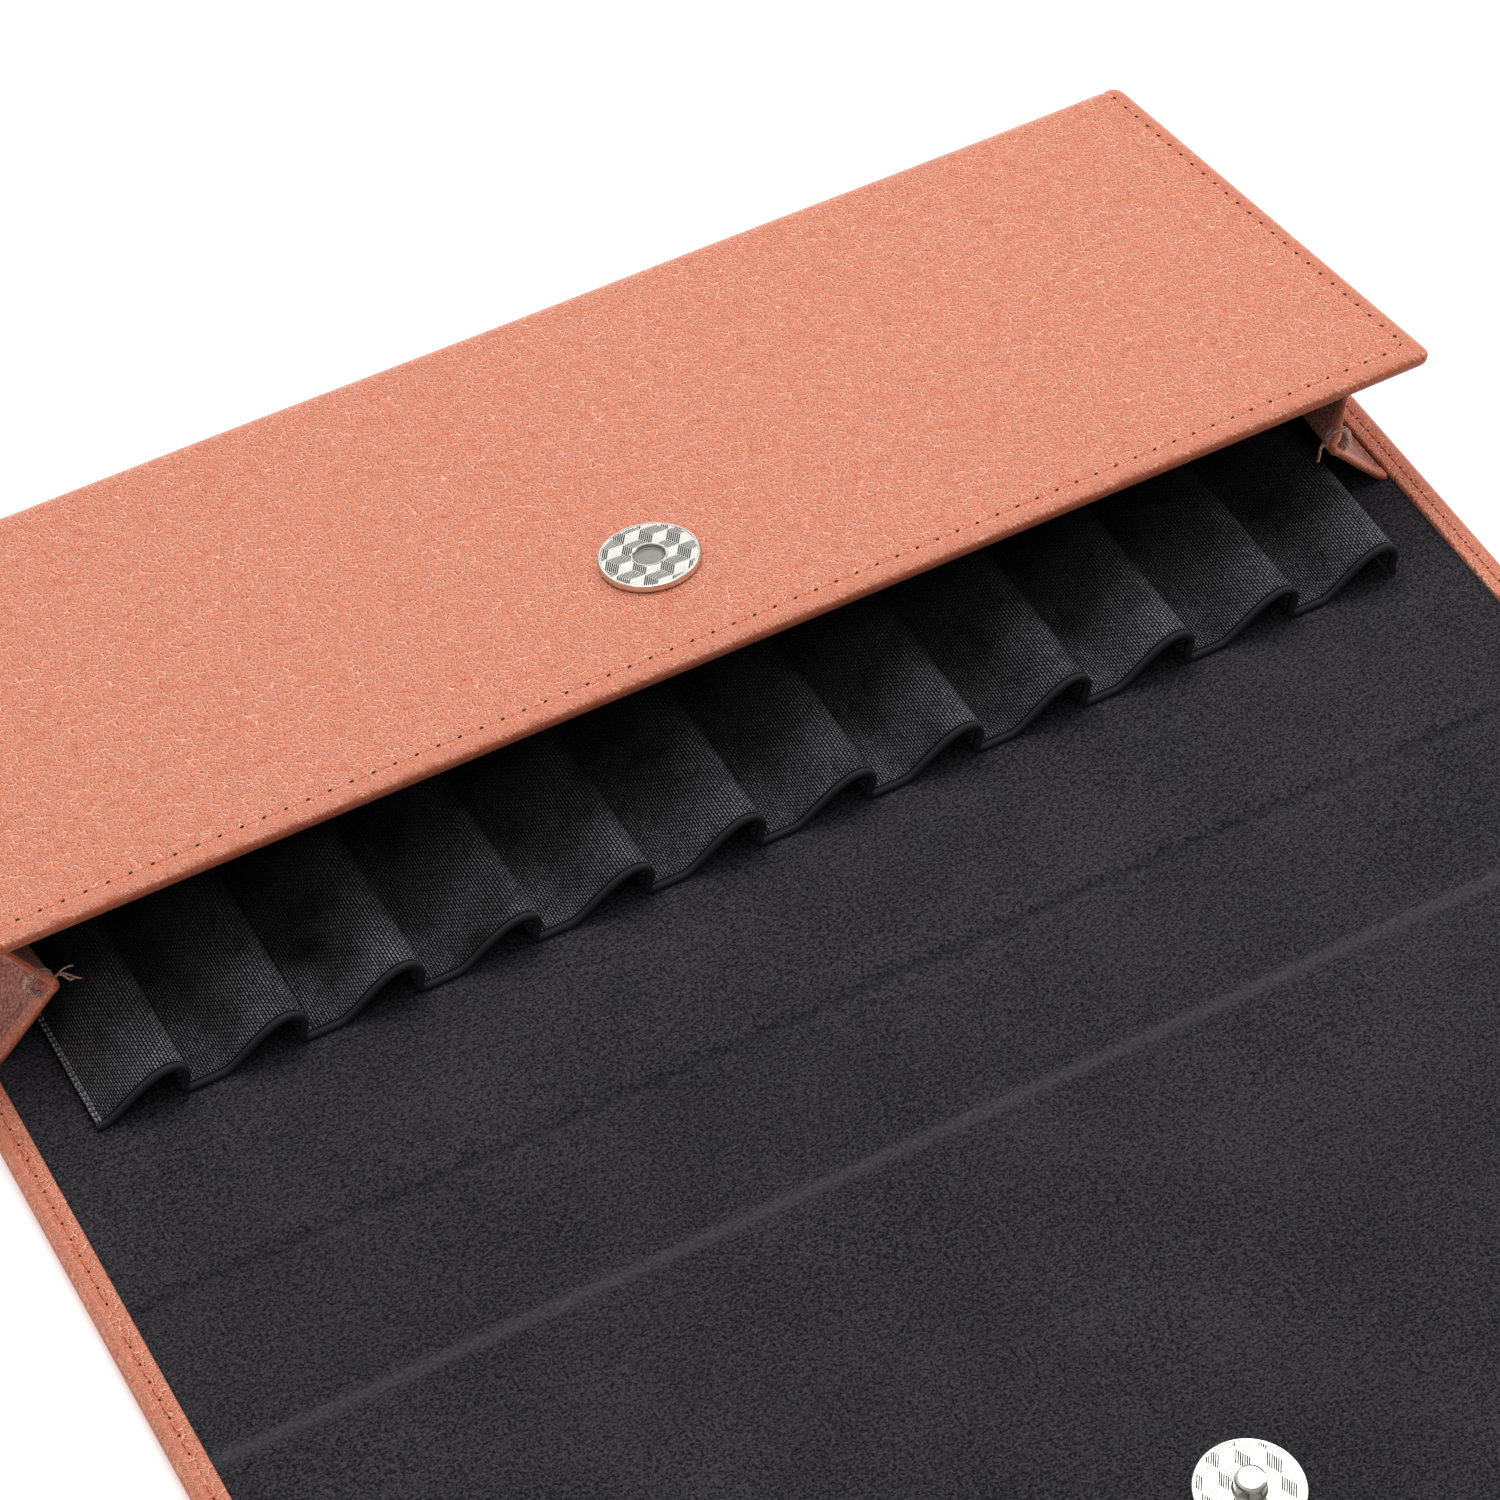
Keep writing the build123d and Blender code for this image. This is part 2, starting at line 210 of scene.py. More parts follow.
@dataclass(frozen=True)
class PebbledLeather(Finish):
    """Small pebbles with thin pale wrinkles between them, partly painted highlight, each with a painted
    shadow beside it, and a roll at the cut edges with painted bands of highlight and shade and pale crumbs of
    wear and painted highlight.
    """

    cell: tuple = srgb(230, 128, 93)
    hollow: tuple = srgb(212, 107, 73)
    # pale wrinkle colour: partly the grain's own lighter tone, partly a painted highlight on the raised
    # ridges
    wrinkle: tuple = srgb(255, 192, 164)
    # pale tone for random patches on the grain, also used for the painted highlight bands on the edge's roll
    bloom_and_highlight: tuple = srgb(220, 134, 108)
    # orange of the edge's roll, also used for the painted shade line in its crease
    roll: tuple = srgb(212, 102, 64)
    # painted shade where the roll turns under, and on the turned strip's underside
    rim: tuple = srgb(204, 94, 60)
    # pale crumbs on the crest: partly wear, partly a painted highlight
    worn_and_highlight: tuple = srgb(248, 190, 160)
    # painted shadow: the dark orange drawn beside each wrinkle, standing in for the shade of its relief
    shadow: tuple = srgb(150, 58, 32)
    cell_size: float = 1.12 * MM
    grain_turn: float = math.radians(25)
    shade_offset: tuple = (0.2 * MM, -0.16 * MM)
    relief: float = 0.2 * MM

    def paint(self, tree: Tree, shader: bpy.types.Node) -> None:
        """Pebbles from cells, wrinkles from the distance to a cell's edge with a painted shadow beside each,
        and the edge's wear with its painted highlight and shade.
        """
        place = tree.add("ShaderNodeTexCoord").outputs["Object"]
        edge_map = tree.add("ShaderNodeUVMap", {"uv_map": "UVMap"}).outputs["UV"]
        inset = tree.add("ShaderNodeSeparateXYZ", Vector=edge_map).outputs["Y"]
        flat = tree.add("ShaderNodeUVMap", {"uv_map": "Grain"})
        drift = tree.add("ShaderNodeTexNoise", {"noise_dimensions": "2D"}, Vector=flat.outputs[0],
                         Scale=430.0, Detail=1.5)
        bent = tree.add("ShaderNodeMix", {"data_type": "VECTOR"})
        tree.feed(bent.inputs[0], 0.0014)
        tree.feed(bent.inputs[4], flat.outputs[0])
        tree.feed(bent.inputs[5], drift.outputs["Color"])
        squeezed = self.stretched(tree, bent.outputs[1], (0.0, 0.0))
        # the wrinkle network moved by shade_offset, for the painted shadow beside each wrinkle
        beside = self.stretched(tree, bent.outputs[1], self.shade_offset)
        large = self.network(tree, squeezed, 1 / self.cell_size, 0.13)
        small = self.network(tree, squeezed, 1.9 / self.cell_size, 0.15)
        shade = self.network(tree, beside, 1 / self.cell_size, 0.2)
        broad = tree.add("ShaderNodeTexNoise", Vector=place, Scale=60.0, Detail=3.0).outputs["Fac"]
        patch = tree.add("ShaderNodeTexNoise", Vector=place, Scale=420.0, Detail=2.0).outputs["Fac"]
        speck = tree.add("ShaderNodeTexNoise", Vector=place, Scale=2400.0, Detail=2.0).outputs["Fac"]
        large = tree.math("MULTIPLY", large, tree.smooth_step(patch, 0.25, 0.6))
        lines = tree.math("MAXIMUM", large, tree.math("MULTIPLY", small, 0.6))
        base = tree.mix(tree.smooth_step(speck, 0.3, 0.6), self.hollow, self.cell)
        base = tree.mix(tree.math("MULTIPLY", tree.smooth_step(broad, 0.35, 0.75), 0.15), base, self.bloom_and_highlight)
        # painted shadow beside each wrinkle
        base = tree.mix(tree.math("MULTIPLY", shade, 0.72), base, self.shadow)
        # pale wrinkles, partly a painted highlight on their ridges
        colour = tree.mix(tree.math("MULTIPLY", lines, 0.95), base, self.wrinkle)
        # the cut edge's roll: wear, with painted bands of highlight and shade
        colour = self.edge_wear_and_light(tree, place, inset, colour)
        tree.feed(shader.inputs["Base Color"], colour)
        height = tree.math("ADD", tree.math("MULTIPLY", lines, 0.75), tree.math("MULTIPLY", speck, 0.25))
        self.bump(tree, shader, height, self.relief)

    def stretched(self, tree: Tree, place, offset: tuple) -> bpy.types.NodeSocket:
        """Draw the grain out along its run, and move it by an offset in metres."""
        node = tree.add("ShaderNodeMapping", {"vector_type": "TEXTURE"}, Vector=place)
        node.inputs["Location"].default_value = (*offset, 0.0)
        node.inputs["Rotation"].default_value = (0.0, 0.0, self.grain_turn)
        node.inputs["Scale"].default_value = (0.86, 1.3, 1.0)
        return node.outputs[0]

    def network(self, tree: Tree, place, scale: float, width: float) -> bpy.types.NodeSocket:
        """Return 1 on the borders of cells and 0 inside them."""
        cells = tree.add("ShaderNodeTexVoronoi", {"feature": "DISTANCE_TO_EDGE", "voronoi_dimensions": "2D"},
                         Vector=place, Scale=scale)
        return tree.math("SUBTRACT", 1.0, tree.smooth_step(cells.outputs["Distance"], 0.02, width))

    def edge_wear_and_light(self, tree: Tree, place, inset, colour) -> bpy.types.NodeSocket:
        """Smooth the grain on the rolled edge, and paint across its roll bands of painted highlight, a
        painted shade line in its crease, painted shade on its rim and underside, and pale crumbs on its crest
        that are partly wear and partly painted highlight.

        Args:
            tree: The material's tree.
            place: Object coordinates.
            inset: Distance from the cut edge, in metres, below 0 on an underside, which takes the rim's
                painted shade.
            colour: Colour of the face.

        Returns:
            The colour with its edge wear and its painted highlight and shade.
        """
        # painted light across the roll, by distance from the edge: painted highlight bands at 1-2 mm and
        # 3.3-5 mm, a painted shade line in the crease at 2.5 mm, and the rim's painted shade at the very edge
        # and on undersides
        bands = tree.ramp(tree.math("DIVIDE", inset, 5 * MM), (
            (0.0, self.rim), (1.0, self.bloom_and_highlight), (0.05, self.roll), (0.2, self.bloom_and_highlight), (0.4, self.bloom_and_highlight),
            (0.5, self.roll), (0.66, self.bloom_and_highlight)))
        on_roll = tree.smooth_step(inset, 3.6 * MM, 0.6 * MM)
        colour = tree.mix(tree.math("MULTIPLY", on_roll, 0.7), colour, bands)
        crest = tree.math("MULTIPLY", tree.smooth_step(inset, 0.1 * MM, 0.3 * MM),
                          tree.smooth_step(inset, 1.0 * MM, 0.6 * MM))
        # pale crumbs on the crest: partly wear from rubbing, partly a painted highlight where the roll turns
        crumbs = tree.add("ShaderNodeTexVoronoi", {"feature": "DISTANCE_TO_EDGE"}, Vector=place, Scale=1300.0)
        painted_light_mask = tree.smooth_step(crumbs.outputs["Distance"], 0.2, 0.05)
        where = tree.add("ShaderNodeTexNoise", Vector=place, Scale=330.0, Detail=2.0).outputs["Fac"]
        painted_light_mask = tree.math("MULTIPLY", painted_light_mask, tree.smooth_step(where, 0.3, 0.5))
        return tree.mix(tree.math("MULTIPLY", tree.math("MULTIPLY", painted_light_mask, crest), 0.55), colour, self.worn_and_highlight)


@dataclass(frozen=True)
class SplitLeather(Finish):
    """Thin, soft gusset leather with a fine nap."""

    light: tuple = srgb(206, 146, 130)
    dark: tuple = srgb(134, 66, 50)

    def paint(self, tree: Tree, shader: bpy.types.Node) -> None:
        """Fine mottling over a broad drift of colour."""
        place = tree.add("ShaderNodeTexCoord").outputs["Object"]
        broad = tree.add("ShaderNodeTexNoise", Vector=place, Scale=200.0, Detail=3.0)
        fine = tree.add("ShaderNodeTexNoise", Vector=place, Scale=1900.0, Detail=3.0)
        tone = tree.math("ADD", tree.math("MULTIPLY", broad.outputs["Fac"], 0.25),
                         tree.math("MULTIPLY", fine.outputs["Fac"], 0.75))
        colour = tree.mix(tree.smooth_step(tone, 0.35, 0.65), self.dark, self.light)
        tree.feed(shader.inputs["Base Color"], colour)
        self.bump(tree, shader, fine.outputs["Fac"], 0.08 * MM)


@dataclass(frozen=True)
class SuedeLining(Finish):
    """Black microfibre suede, with a short nap that catches the light in specks."""

    deep: tuple = srgb(19, 18, 21)
    tip: tuple = srgb(72, 70, 75)
    # pale tone of the ridge: partly its flattened nap, partly a painted highlight
    pressed_and_highlight: tuple = srgb(78, 76, 80)
    shaded: tuple = srgb(17, 16, 20)

    def paint(self, tree: Tree, shader: bpy.types.Node) -> None:
        """Fibre specks, drawn out across the case, and the creases, with a painted highlight on the ridge and
        painted shade in the valley and on the spine: v is 1 on a ridge, 0 in a valley.
        """
        place = tree.add("ShaderNodeTexCoord").outputs["Object"]
        combed = tree.add("ShaderNodeMapping", Vector=place)
        combed.inputs["Scale"].default_value = (0.85, 1.0, 1.0)
        fibre = tree.add("ShaderNodeTexNoise", Vector=combed.outputs[0], Scale=2300.0, Detail=3.0,
                         Roughness=0.65)
        tuft = tree.add("ShaderNodeTexNoise", Vector=combed.outputs[0], Scale=1100.0, Detail=2.0)
        cloud = tree.add("ShaderNodeTexNoise", Vector=combed.outputs[0], Scale=40.0, Detail=2.0)
        tone = tree.math("ADD", tree.math("MULTIPLY", fibre.outputs["Fac"], 0.7),
                         tree.math("MULTIPLY", tuft.outputs["Fac"], 0.22))
        tone = tree.math("ADD", tone, tree.math("MULTIPLY", cloud.outputs["Fac"], 0.08))
        colour = tree.mix(tree.smooth_step(tone, 0.38, 0.66), self.deep, self.tip)
        crease_map = tree.add("ShaderNodeUVMap").outputs["UV"]
        fold = tree.add("ShaderNodeSeparateXYZ", Vector=crease_map).outputs["Y"]
        # painted highlight on the ridge along with its flattened nap, then painted shade in the valley and on
        # the spine
        ridge = tree.math("MULTIPLY", tree.smooth_step(fold, 0.5, 1.0), 0.4)
        colour = tree.mix(ridge, colour, self.pressed_and_highlight)
        colour = tree.mix(tree.smooth_step(fold, 0.5, 0.0), colour, self.shaded)
        tree.feed(shader.inputs["Base Color"], colour)
        self.bump(tree, shader, tone, 0.3 * MM)


@dataclass(frozen=True)
class WovenElastic(Finish):
    """Ribbed elastic: short floats in columns, each column half a float on from the last."""

    gap: tuple = srgb(4, 4, 5)
    # pale grey of the floats: a painted highlight on the ribs of black elastic
    float_highlight: tuple = srgb(138, 137, 141)
    hem: tuple = srgb(46, 46, 49)
    rib_pitch: float = 0.52 * MM
    float_length: float = 0.92 * MM
    hem_width: float = 1.5 * MM
    groove: float = 1.4 * MM

    def paint(self, tree: Tree, shader: bpy.types.Node) -> None:
        """The weave follows the band: u runs along it and v across it, in metres. The pale floats are a
        painted highlight on black elastic, with painted shade deeper in the band.
        """
        uv = tree.add("ShaderNodeSeparateXYZ", Vector=tree.add("ShaderNodeUVMap").outputs["UV"])
        along, across = uv.outputs["X"], uv.outputs["Y"]
        rib = tree.math("DIVIDE", along, self.rib_pitch)
        number = tree.math("FLOOR", rib)
        run = tree.math("ADD", tree.math("DIVIDE", across, self.float_length),
                        tree.math("MULTIPLY", number, 0.5))
        off_rib = tree.math("ABSOLUTE", tree.math("SUBTRACT", tree.math("FRACT", rib), 0.5))
        off_run = tree.math("ABSOLUTE", tree.math("SUBTRACT", tree.math("FRACT", run), 0.5))
        raised = tree.math("MULTIPLY", tree.smooth_step(off_rib, 0.42, 0.14),
                           tree.smooth_step(off_run, 0.5, 0.3))
        which = tree.add("ShaderNodeCombineXYZ", X=number, Y=tree.math("FLOOR", run))
        uneven = tree.add("ShaderNodeTexWhiteNoise", {"noise_dimensions": "2D"}, Vector=which.outputs[0])
        uneven = tree.math("ADD", 0.55, tree.math("MULTIPLY", uneven.outputs["Value"], 0.45))
        place = tree.add("ShaderNodeTexCoord").outputs["Object"]
        lint = tree.add("ShaderNodeTexNoise", Vector=place, Scale=1400.0, Detail=3.0)
        wide = tree.add("ShaderNodeTexNoise", Vector=place, Scale=90.0, Detail=2.0)
        # painted shade: the floats darken from the hem towards the back of the band, under the front panel;
        # full at the hem, 0.35 from 45 mm in
        near_hem = tree.smooth_step(across, 45 * MM, 3 * MM)
        painted_light_mask = tree.math("ADD", 0.35, tree.math("MULTIPLY", near_hem, 0.65))
        lit = tree.math("MULTIPLY", uneven, tree.smooth_step(lint.outputs["Fac"], 0.15, 0.5))
        lit = tree.math("MULTIPLY", lit, painted_light_mask)
        shade = tree.math("MULTIPLY", tree.math("MULTIPLY", raised, lit),
                          tree.smooth_step(wide.outputs["Fac"], 0.0, 0.7))
        # floats in their painted highlight over the black elastic
        woven = tree.mix(shade, self.gap, self.float_highlight)
        in_weave = tree.smooth_step(across, self.hem_width - 0.1 * MM, self.hem_width + 0.1 * MM)
        in_groove = tree.smooth_step(tree.math("ABSOLUTE", tree.math("SUBTRACT", across, self.groove)),
                                     0.26 * MM, 0.1 * MM)
        colour = tree.mix(tree.math("MULTIPLY", in_groove, 0.7),
                          tree.mix(in_weave, self.hem, woven), self.gap)
        tree.feed(shader.inputs["Base Color"], colour)
        height = tree.math("MULTIPLY", raised, in_weave)
        height = tree.math("ADD", height, tree.math("MULTIPLY", lint.outputs["Fac"], 0.3))
        self.bump(tree, shader, height, 0.16 * MM)


@dataclass(frozen=True)
class TwistedThread(Finish):
    """Sewing thread with a fine twist."""

    light: tuple = srgb(196, 112, 82)
    dark: tuple = srgb(140, 70, 46)

    def paint(self, tree: Tree, shader: bpy.types.Node) -> None:
        """Fine strands in two tones."""
        place = tree.add("ShaderNodeTexCoord").outputs["Object"]
        strand = tree.add("ShaderNodeTexNoise", Vector=place, Scale=3200.0, Detail=2.0)
        tone = tree.smooth_step(strand.outputs["Fac"], 0.35, 0.65)
        tree.feed(shader.inputs["Base Color"], tree.mix(tone, self.dark, self.light))
        self.bump(tree, shader, strand.outputs["Fac"], 0.05 * MM)


@dataclass(frozen=True)
class SnapMetal(Finish):
    """Nickel plate or bare metal with fine scratches."""

    colour: tuple = srgb(214, 210, 202)

    def paint(self, tree: Tree, shader: bpy.types.Node) -> None:
        """Slight clouding in colour and polish."""
        place = tree.add("ShaderNodeTexCoord").outputs["Object"]
        cloud = tree.add("ShaderNodeTexNoise", Vector=place, Scale=700.0, Detail=4.0)
        dull = tuple(0.72 * c for c in self.colour)
        tree.feed(shader.inputs["Base Color"], tree.mix(cloud.outputs["Fac"], dull, self.colour))
        rough = tree.math("ADD", self.roughness - 0.1, tree.math("MULTIPLY", cloud.outputs["Fac"], 0.2))
        tree.feed(shader.inputs["Roughness"], rough)
        self.bump(tree, shader, cloud.outputs["Fac"], 0.01 * MM)


@dataclass(frozen=True)
class FibreBoard(Finish):
    """Stiffening board inside the panels."""

    light: tuple = srgb(176, 162, 140)
    dark: tuple = srgb(140, 126, 104)

    def paint(self, tree: Tree, shader: bpy.types.Node) -> None:
        """Pressed fibres."""
        place = tree.add("ShaderNodeTexCoord").outputs["Object"]
        fibre = tree.add("ShaderNodeTexNoise", Vector=place, Scale=900.0, Detail=4.0)
        tree.feed(shader.inputs["Base Color"], tree.mix(fibre.outputs["Fac"], self.dark, self.light))
        self.bump(tree, shader, fibre.outputs["Fac"], 0.05 * MM)


class Kit:
    """All finishes of the case, made once."""

    def __init__(self) -> None:
        """Make each finish."""
        self.leather = PebbledLeather("pebbled_leather", roughness=0.42, specular=0.3, sheen=0.06).make()
        self.gusset = SplitLeather("gusset_leather", roughness=0.6, specular=0.35, sheen=0.1).make()
        self.lining = SuedeLining("suede_lining", roughness=0.9, specular=0.04, sheen=0.1).make()
        self.elastic = WovenElastic("woven_elastic", roughness=0.6, specular=0.06).make()
        self.thread = TwistedThread("cognac_thread", roughness=0.6, specular=0.3,
                                    light=srgb(232, 148, 120), dark=srgb(196, 104, 74)).make()
        self.knot = TwistedThread("waxed_thread", roughness=0.55, specular=0.4,
                                  light=srgb(228, 196, 180), dark=srgb(140, 74, 54)).make()
        # needle holes: dark ellipsoids, a painted shade standing in for the hollow of each hole
        self.hole = TwistedThread("needle_hole", roughness=0.9, specular=0.1,
                                  light=srgb(112, 52, 30), dark=srgb(72, 30, 18)).make()
        self.black_thread = TwistedThread("black_thread", roughness=0.7, specular=0.3,
                                          light=srgb(40, 40, 42), dark=srgb(14, 14, 15)).make()
        self.pale_thread = TwistedThread("grey_thread", roughness=0.7, specular=0.3,
                                         light=srgb(172, 172, 174), dark=srgb(84, 84, 86)).make()
        self.nickel = SnapMetal("nickel_plate", roughness=0.24, metallic=1.0,
                                colour=srgb(240, 237, 230)).make()
        self.engraving = SnapMetal("engraved_line", roughness=0.6, metallic=0.6,
                                   colour=srgb(58, 56, 54)).make()
        self.seat = SnapMetal("worn_seat", roughness=0.45, metallic=0.8, colour=srgb(150, 147, 140)).make()
        self.ferrite = SnapMetal("magnet_grey", roughness=0.5, metallic=0.6, colour=srgb(96, 96, 98)).make()
        self.board = FibreBoard("fibre_board", roughness=0.9, specular=0.2).make()


# ------------------------------------------------------------------ the frame's sizes


@dataclass
class Frame:
    """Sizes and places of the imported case, in metres."""

    half_width: float
    crease_y: float
    flap_crease_y: float
    flap_end_y: float
    bend_y: float
    bend_radius: float
    tilt: float
    front_length: float
    leather: float
    stack: float
    edge_height: float
    band_low: Vector
    band_high: Vector
    loop_pitch: float
    loop_count: int
    socket_along: float
    stud_y: float
    snap_radius: float
    gusset_hinge: Vector
    gusset_start_y: float
    gusset_end_y: float
    gusset_angle: float

    @classmethod
    def read(cls, frame: dict) -> "Frame":
        """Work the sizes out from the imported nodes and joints.


        Returns:
            The sizes.
        """
        joints = {j["name"]: j for j in frame["joints"]}
        bend = joints["front_panel_fold"]["pos_m"]
        up = joints["gusset_right_upper_fold"]["axis"]
        tilt = math.atan2(up[2], -up[1])
        edge_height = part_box("back_leather")[1].z
        radius = bend[2]
        mouth_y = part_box("front_leather")[0].y + edge_height * math.sin(tilt)
        front_length = (bend[1] + radius * math.sin(tilt) - mouth_y) / math.cos(tilt)
        loops = sorted(n for n in frame["nodes"] if n.startswith("pen_loop_"))
        magnet = sum(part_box("snap_magnet"), Vector()) / 2
        along = Vector((0, -math.cos(tilt), math.sin(tilt)))
        start = Vector((0, bend[1] + radius * math.sin(tilt), radius + radius * math.cos(tilt)))
        stud_low, stud_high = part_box("snap_stud")
        gusset_low, gusset_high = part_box("gusset_right_lower")
        hinge = joints["gusset_right_lower_fold"]["pos_m"]
        rise, run = gusset_high.z - hinge[2], hinge[0] - gusset_low.x
        return cls(
            half_width=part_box("back_leather")[1].x,
            crease_y=joints["spine_fold"]["pos_m"][1],
            flap_crease_y=joints["flap_fold"]["pos_m"][1],
            flap_end_y=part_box("flap_leather")[0].y,
            bend_y=bend[1],
            bend_radius=radius,
            tilt=tilt,
            front_length=front_length,
            leather=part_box("back_board")[0].z,
            stack=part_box("back_lining")[1].z,
            edge_height=edge_height,
            band_low=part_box(loops[0])[0],
            band_high=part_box(loops[-1])[1],
            loop_pitch=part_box(loops[1])[0].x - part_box(loops[0])[0].x,
            loop_count=len(loops),
            socket_along=(magnet - start).dot(along),
            stud_y=(stud_low.y + stud_high.y) / 2,
            snap_radius=(stud_high.x - stud_low.x) / 2,
            gusset_hinge=Vector(hinge),
            gusset_start_y=gusset_low.y,
            gusset_end_y=gusset_high.y,
            gusset_angle=math.atan2(rise, run),
        )

    @property
    def spine_middle_y(self) -> float:
        """Line half-way across the spine, where the covers meet."""
        return (self.crease_y + self.flap_crease_y) / 2

    @property
    def bend_arc(self) -> float:
        """Length of the bottom fold's outside, from the back to the front panel."""
        return self.bend_radius * (math.pi - self.tilt)

    def on_front(self, x: Array, along: Array, depth: Array) -> Array:
        """Places on the bottom fold and the front panel.

        Args:
            x: Across the case.
            along: Distance along the outside, from the start of the bottom fold; the front
                panel starts at bend_arc.
            depth: Distance in from the outside.

        Returns:
            Points, with the last axis x, y, z.
        """
        x, along, depth = np.broadcast_arrays(x, along, depth)
        turn = -math.pi / 2 + np.minimum(along, self.bend_arc) / self.bend_radius
        reach = self.bend_radius - depth
        rest = np.maximum(along - self.bend_arc, 0)
        y = self.bend_y + reach * np.cos(turn) - rest * math.cos(self.tilt)
        z = self.bend_radius + reach * np.sin(turn) + rest * math.sin(self.tilt)
        return np.stack([x, y, z], axis=-1)

    def on_flat(self, x: Array, along: Array, depth: Array) -> Array:
        """Places on the back, spine and flap: along is y and depth is the height."""
        return np.stack(np.broadcast_arrays(x, along, depth), axis=-1)


# ------------------------------------------------------------------ meshes


def new_object(name: str, mesh: bpy.types.Mesh, material: Optional[bpy.types.Material] = None,
               smooth: bool = True, crease: float = 55.0) -> bpy.types.Object:
    """Put a mesh in the scene as an object at the origin.

    Args:
        name: The piece's name.
        mesh: Its mesh, already in place.
        material: Its finish, if the mesh has none yet.
        smooth: Whether its faces are shaded smooth.
        crease: Edges that turn by more than this many degrees stay sharp.

    Returns:
        The object.
    """
    piece = bpy.data.objects.new(name, mesh)
    bpy.context.scene.collection.objects.link(piece)
    if material is not None:
        mesh.materials.clear()
        mesh.materials.append(material)
    if smooth:
        mesh.shade_smooth()
        mesh.set_sharp_from_angle(angle=math.radians(crease))
    return piece


def mesh_from(name: str, points: Array, faces: Iterable, merge: float = 1e-6,
              uv: Optional[Array] = None) -> bpy.types.Mesh:
    """Make a mesh with merged doubles and outward normals.

    Args:
        name: The mesh's name.
        points: Points, one row each.
        faces: Vertex indices of each face.
        merge: Points nearer than this become one.
        uv: A (u, v) for each point, if the mesh needs a map, and a second (u, v) for a grain map.

    Returns:
        The mesh.
    """
    mesh = bpy.data.meshes.new(name)
    mesh.from_pydata(points.reshape(-1, 3).tolist(), [], [tuple(int(i) for i in f) for f in faces])
    if uv is not None:
        corner = np.zeros(len(mesh.loops), np.int32)
        mesh.loops.foreach_get("vertex_index", corner)
        flat = uv.reshape(points[..., 0].size, -1).astype(np.float32)[corner]
        for label, first in zip(("UVMap", "Grain"), range(0, flat.shape[1], 2)):
            layer = mesh.uv_layers.new(name=label)
            layer.data.foreach_set("uv", flat[:, first:first + 2].ravel())
    work = bmesh.new()
    work.from_mesh(mesh)
    bmesh.ops.remove_doubles(work, verts=work.verts, dist=merge)
    bmesh.ops.recalc_face_normals(work, faces=work.faces)
    work.to_mesh(mesh)
    work.free()
    return mesh


def grid_faces(index: Array, keep: Optional[Array] = None) -> list:
    """Faces of a grid of vertex numbers, for the cells in keep."""
    quads = np.stack([index[:-1, :-1], index[1:, :-1], index[1:, 1:], index[:-1, 1:]], axis=-1)
    return (quads.reshape(-1, 4) if keep is None else quads[keep]).tolist()


def border_faces(cells: Array, first: Array, second: Array, outer: bool) -> list:
    """Walls between two layers of a grid, along the border of some of its cells.

    Args:
        cells: Which cells the walls go round.
        first: Vertex numbers of one layer.
        second: Vertex numbers of the other layer.
        outer: Whether the grid's own border counts too.

    Returns:
        The faces.
    """
    faces = []
    for axis in (0, 1):
        edge = np.pad(cells, [(1, 1) if k == axis else (0, 0) for k in (0, 1)]) if outer else cells
        shift = 0 if outer else 1
        for i, j in np.argwhere(np.diff(edge.astype(int), axis=axis)):
            a, b = ((i + shift, j), (i + shift, j + 1)) if axis == 0 else ((i, j + shift), (i + 1, j + shift))
            faces.append([first[a], first[b], second[b], second[a]])
    return faces


def fine_lines(low: float, high: float, step: float, fine_at: Sequence[tuple]) -> Array:
    """Grid lines from low to high, with closer lines round some places.

    Args:
        low: First line.
        high: Last line.
        step: Widest distance between lines.
        fine_at: (centre, reach, step) of each place with closer lines.

    Returns:
        The lines, in order.
    """
    lines = {round(v, 9) for v in np.linspace(low, high, max(2, int((high - low) / step) + 1))}
    for centre, reach, fine in fine_at:
        lines = {v for v in lines if abs(v - centre) > reach + fine}
        count = max(2, int(round(2 * reach / fine)) + 1)
        lines |= {round(v, 9) for v in np.linspace(centre - reach, centre + reach, count)}
    return np.array(sorted(v for v in lines | {low, high} if low - 1e-9 <= v <= high + 1e-9))


# ------------------------------------------------------------------ leather covers


@dataclass
class EdgeShape:
    """How the leather is turned over an edge, and sunk along its seam."""

    turned_width: float = 5.4 * MM
    roll: float = 1.5 * MM
    under_roll: float = 1.5 * MM
    meet: float = 0.5
    corner: float = 2.2 * MM
    groove_depth: float = 0.2 * MM
    groove_reach: float = 0.5 * MM
    bulge: float = 0.12 * MM
    lip: float = 0.5 * MM

    def ease(self, inset: Array, drop: float, roll: float) -> Array:
        """How far a face falls away at a distance from the edge, when it falls by drop in all."""
        t = np.clip(1 - inset / roll, 0, 1)
        return drop * (1 - np.sqrt(np.maximum(1 - t * t, 0)))

    def seam(self, inset: Array, seam_at: float) -> Array:
        """Sink of the face along its seam, less the swell on both sides of it."""
        groove = self.groove_depth * np.exp(-(((inset - seam_at) / self.groove_reach) ** 2))
        swell = np.exp(-(((inset - seam_at / 2) / (0.32 * seam_at)) ** 2))
        beyond = 0.6 * np.exp(-(((inset - 1.55 * seam_at) / (0.4 * seam_at)) ** 2))
        return groove - self.bulge * (swell + beyond)


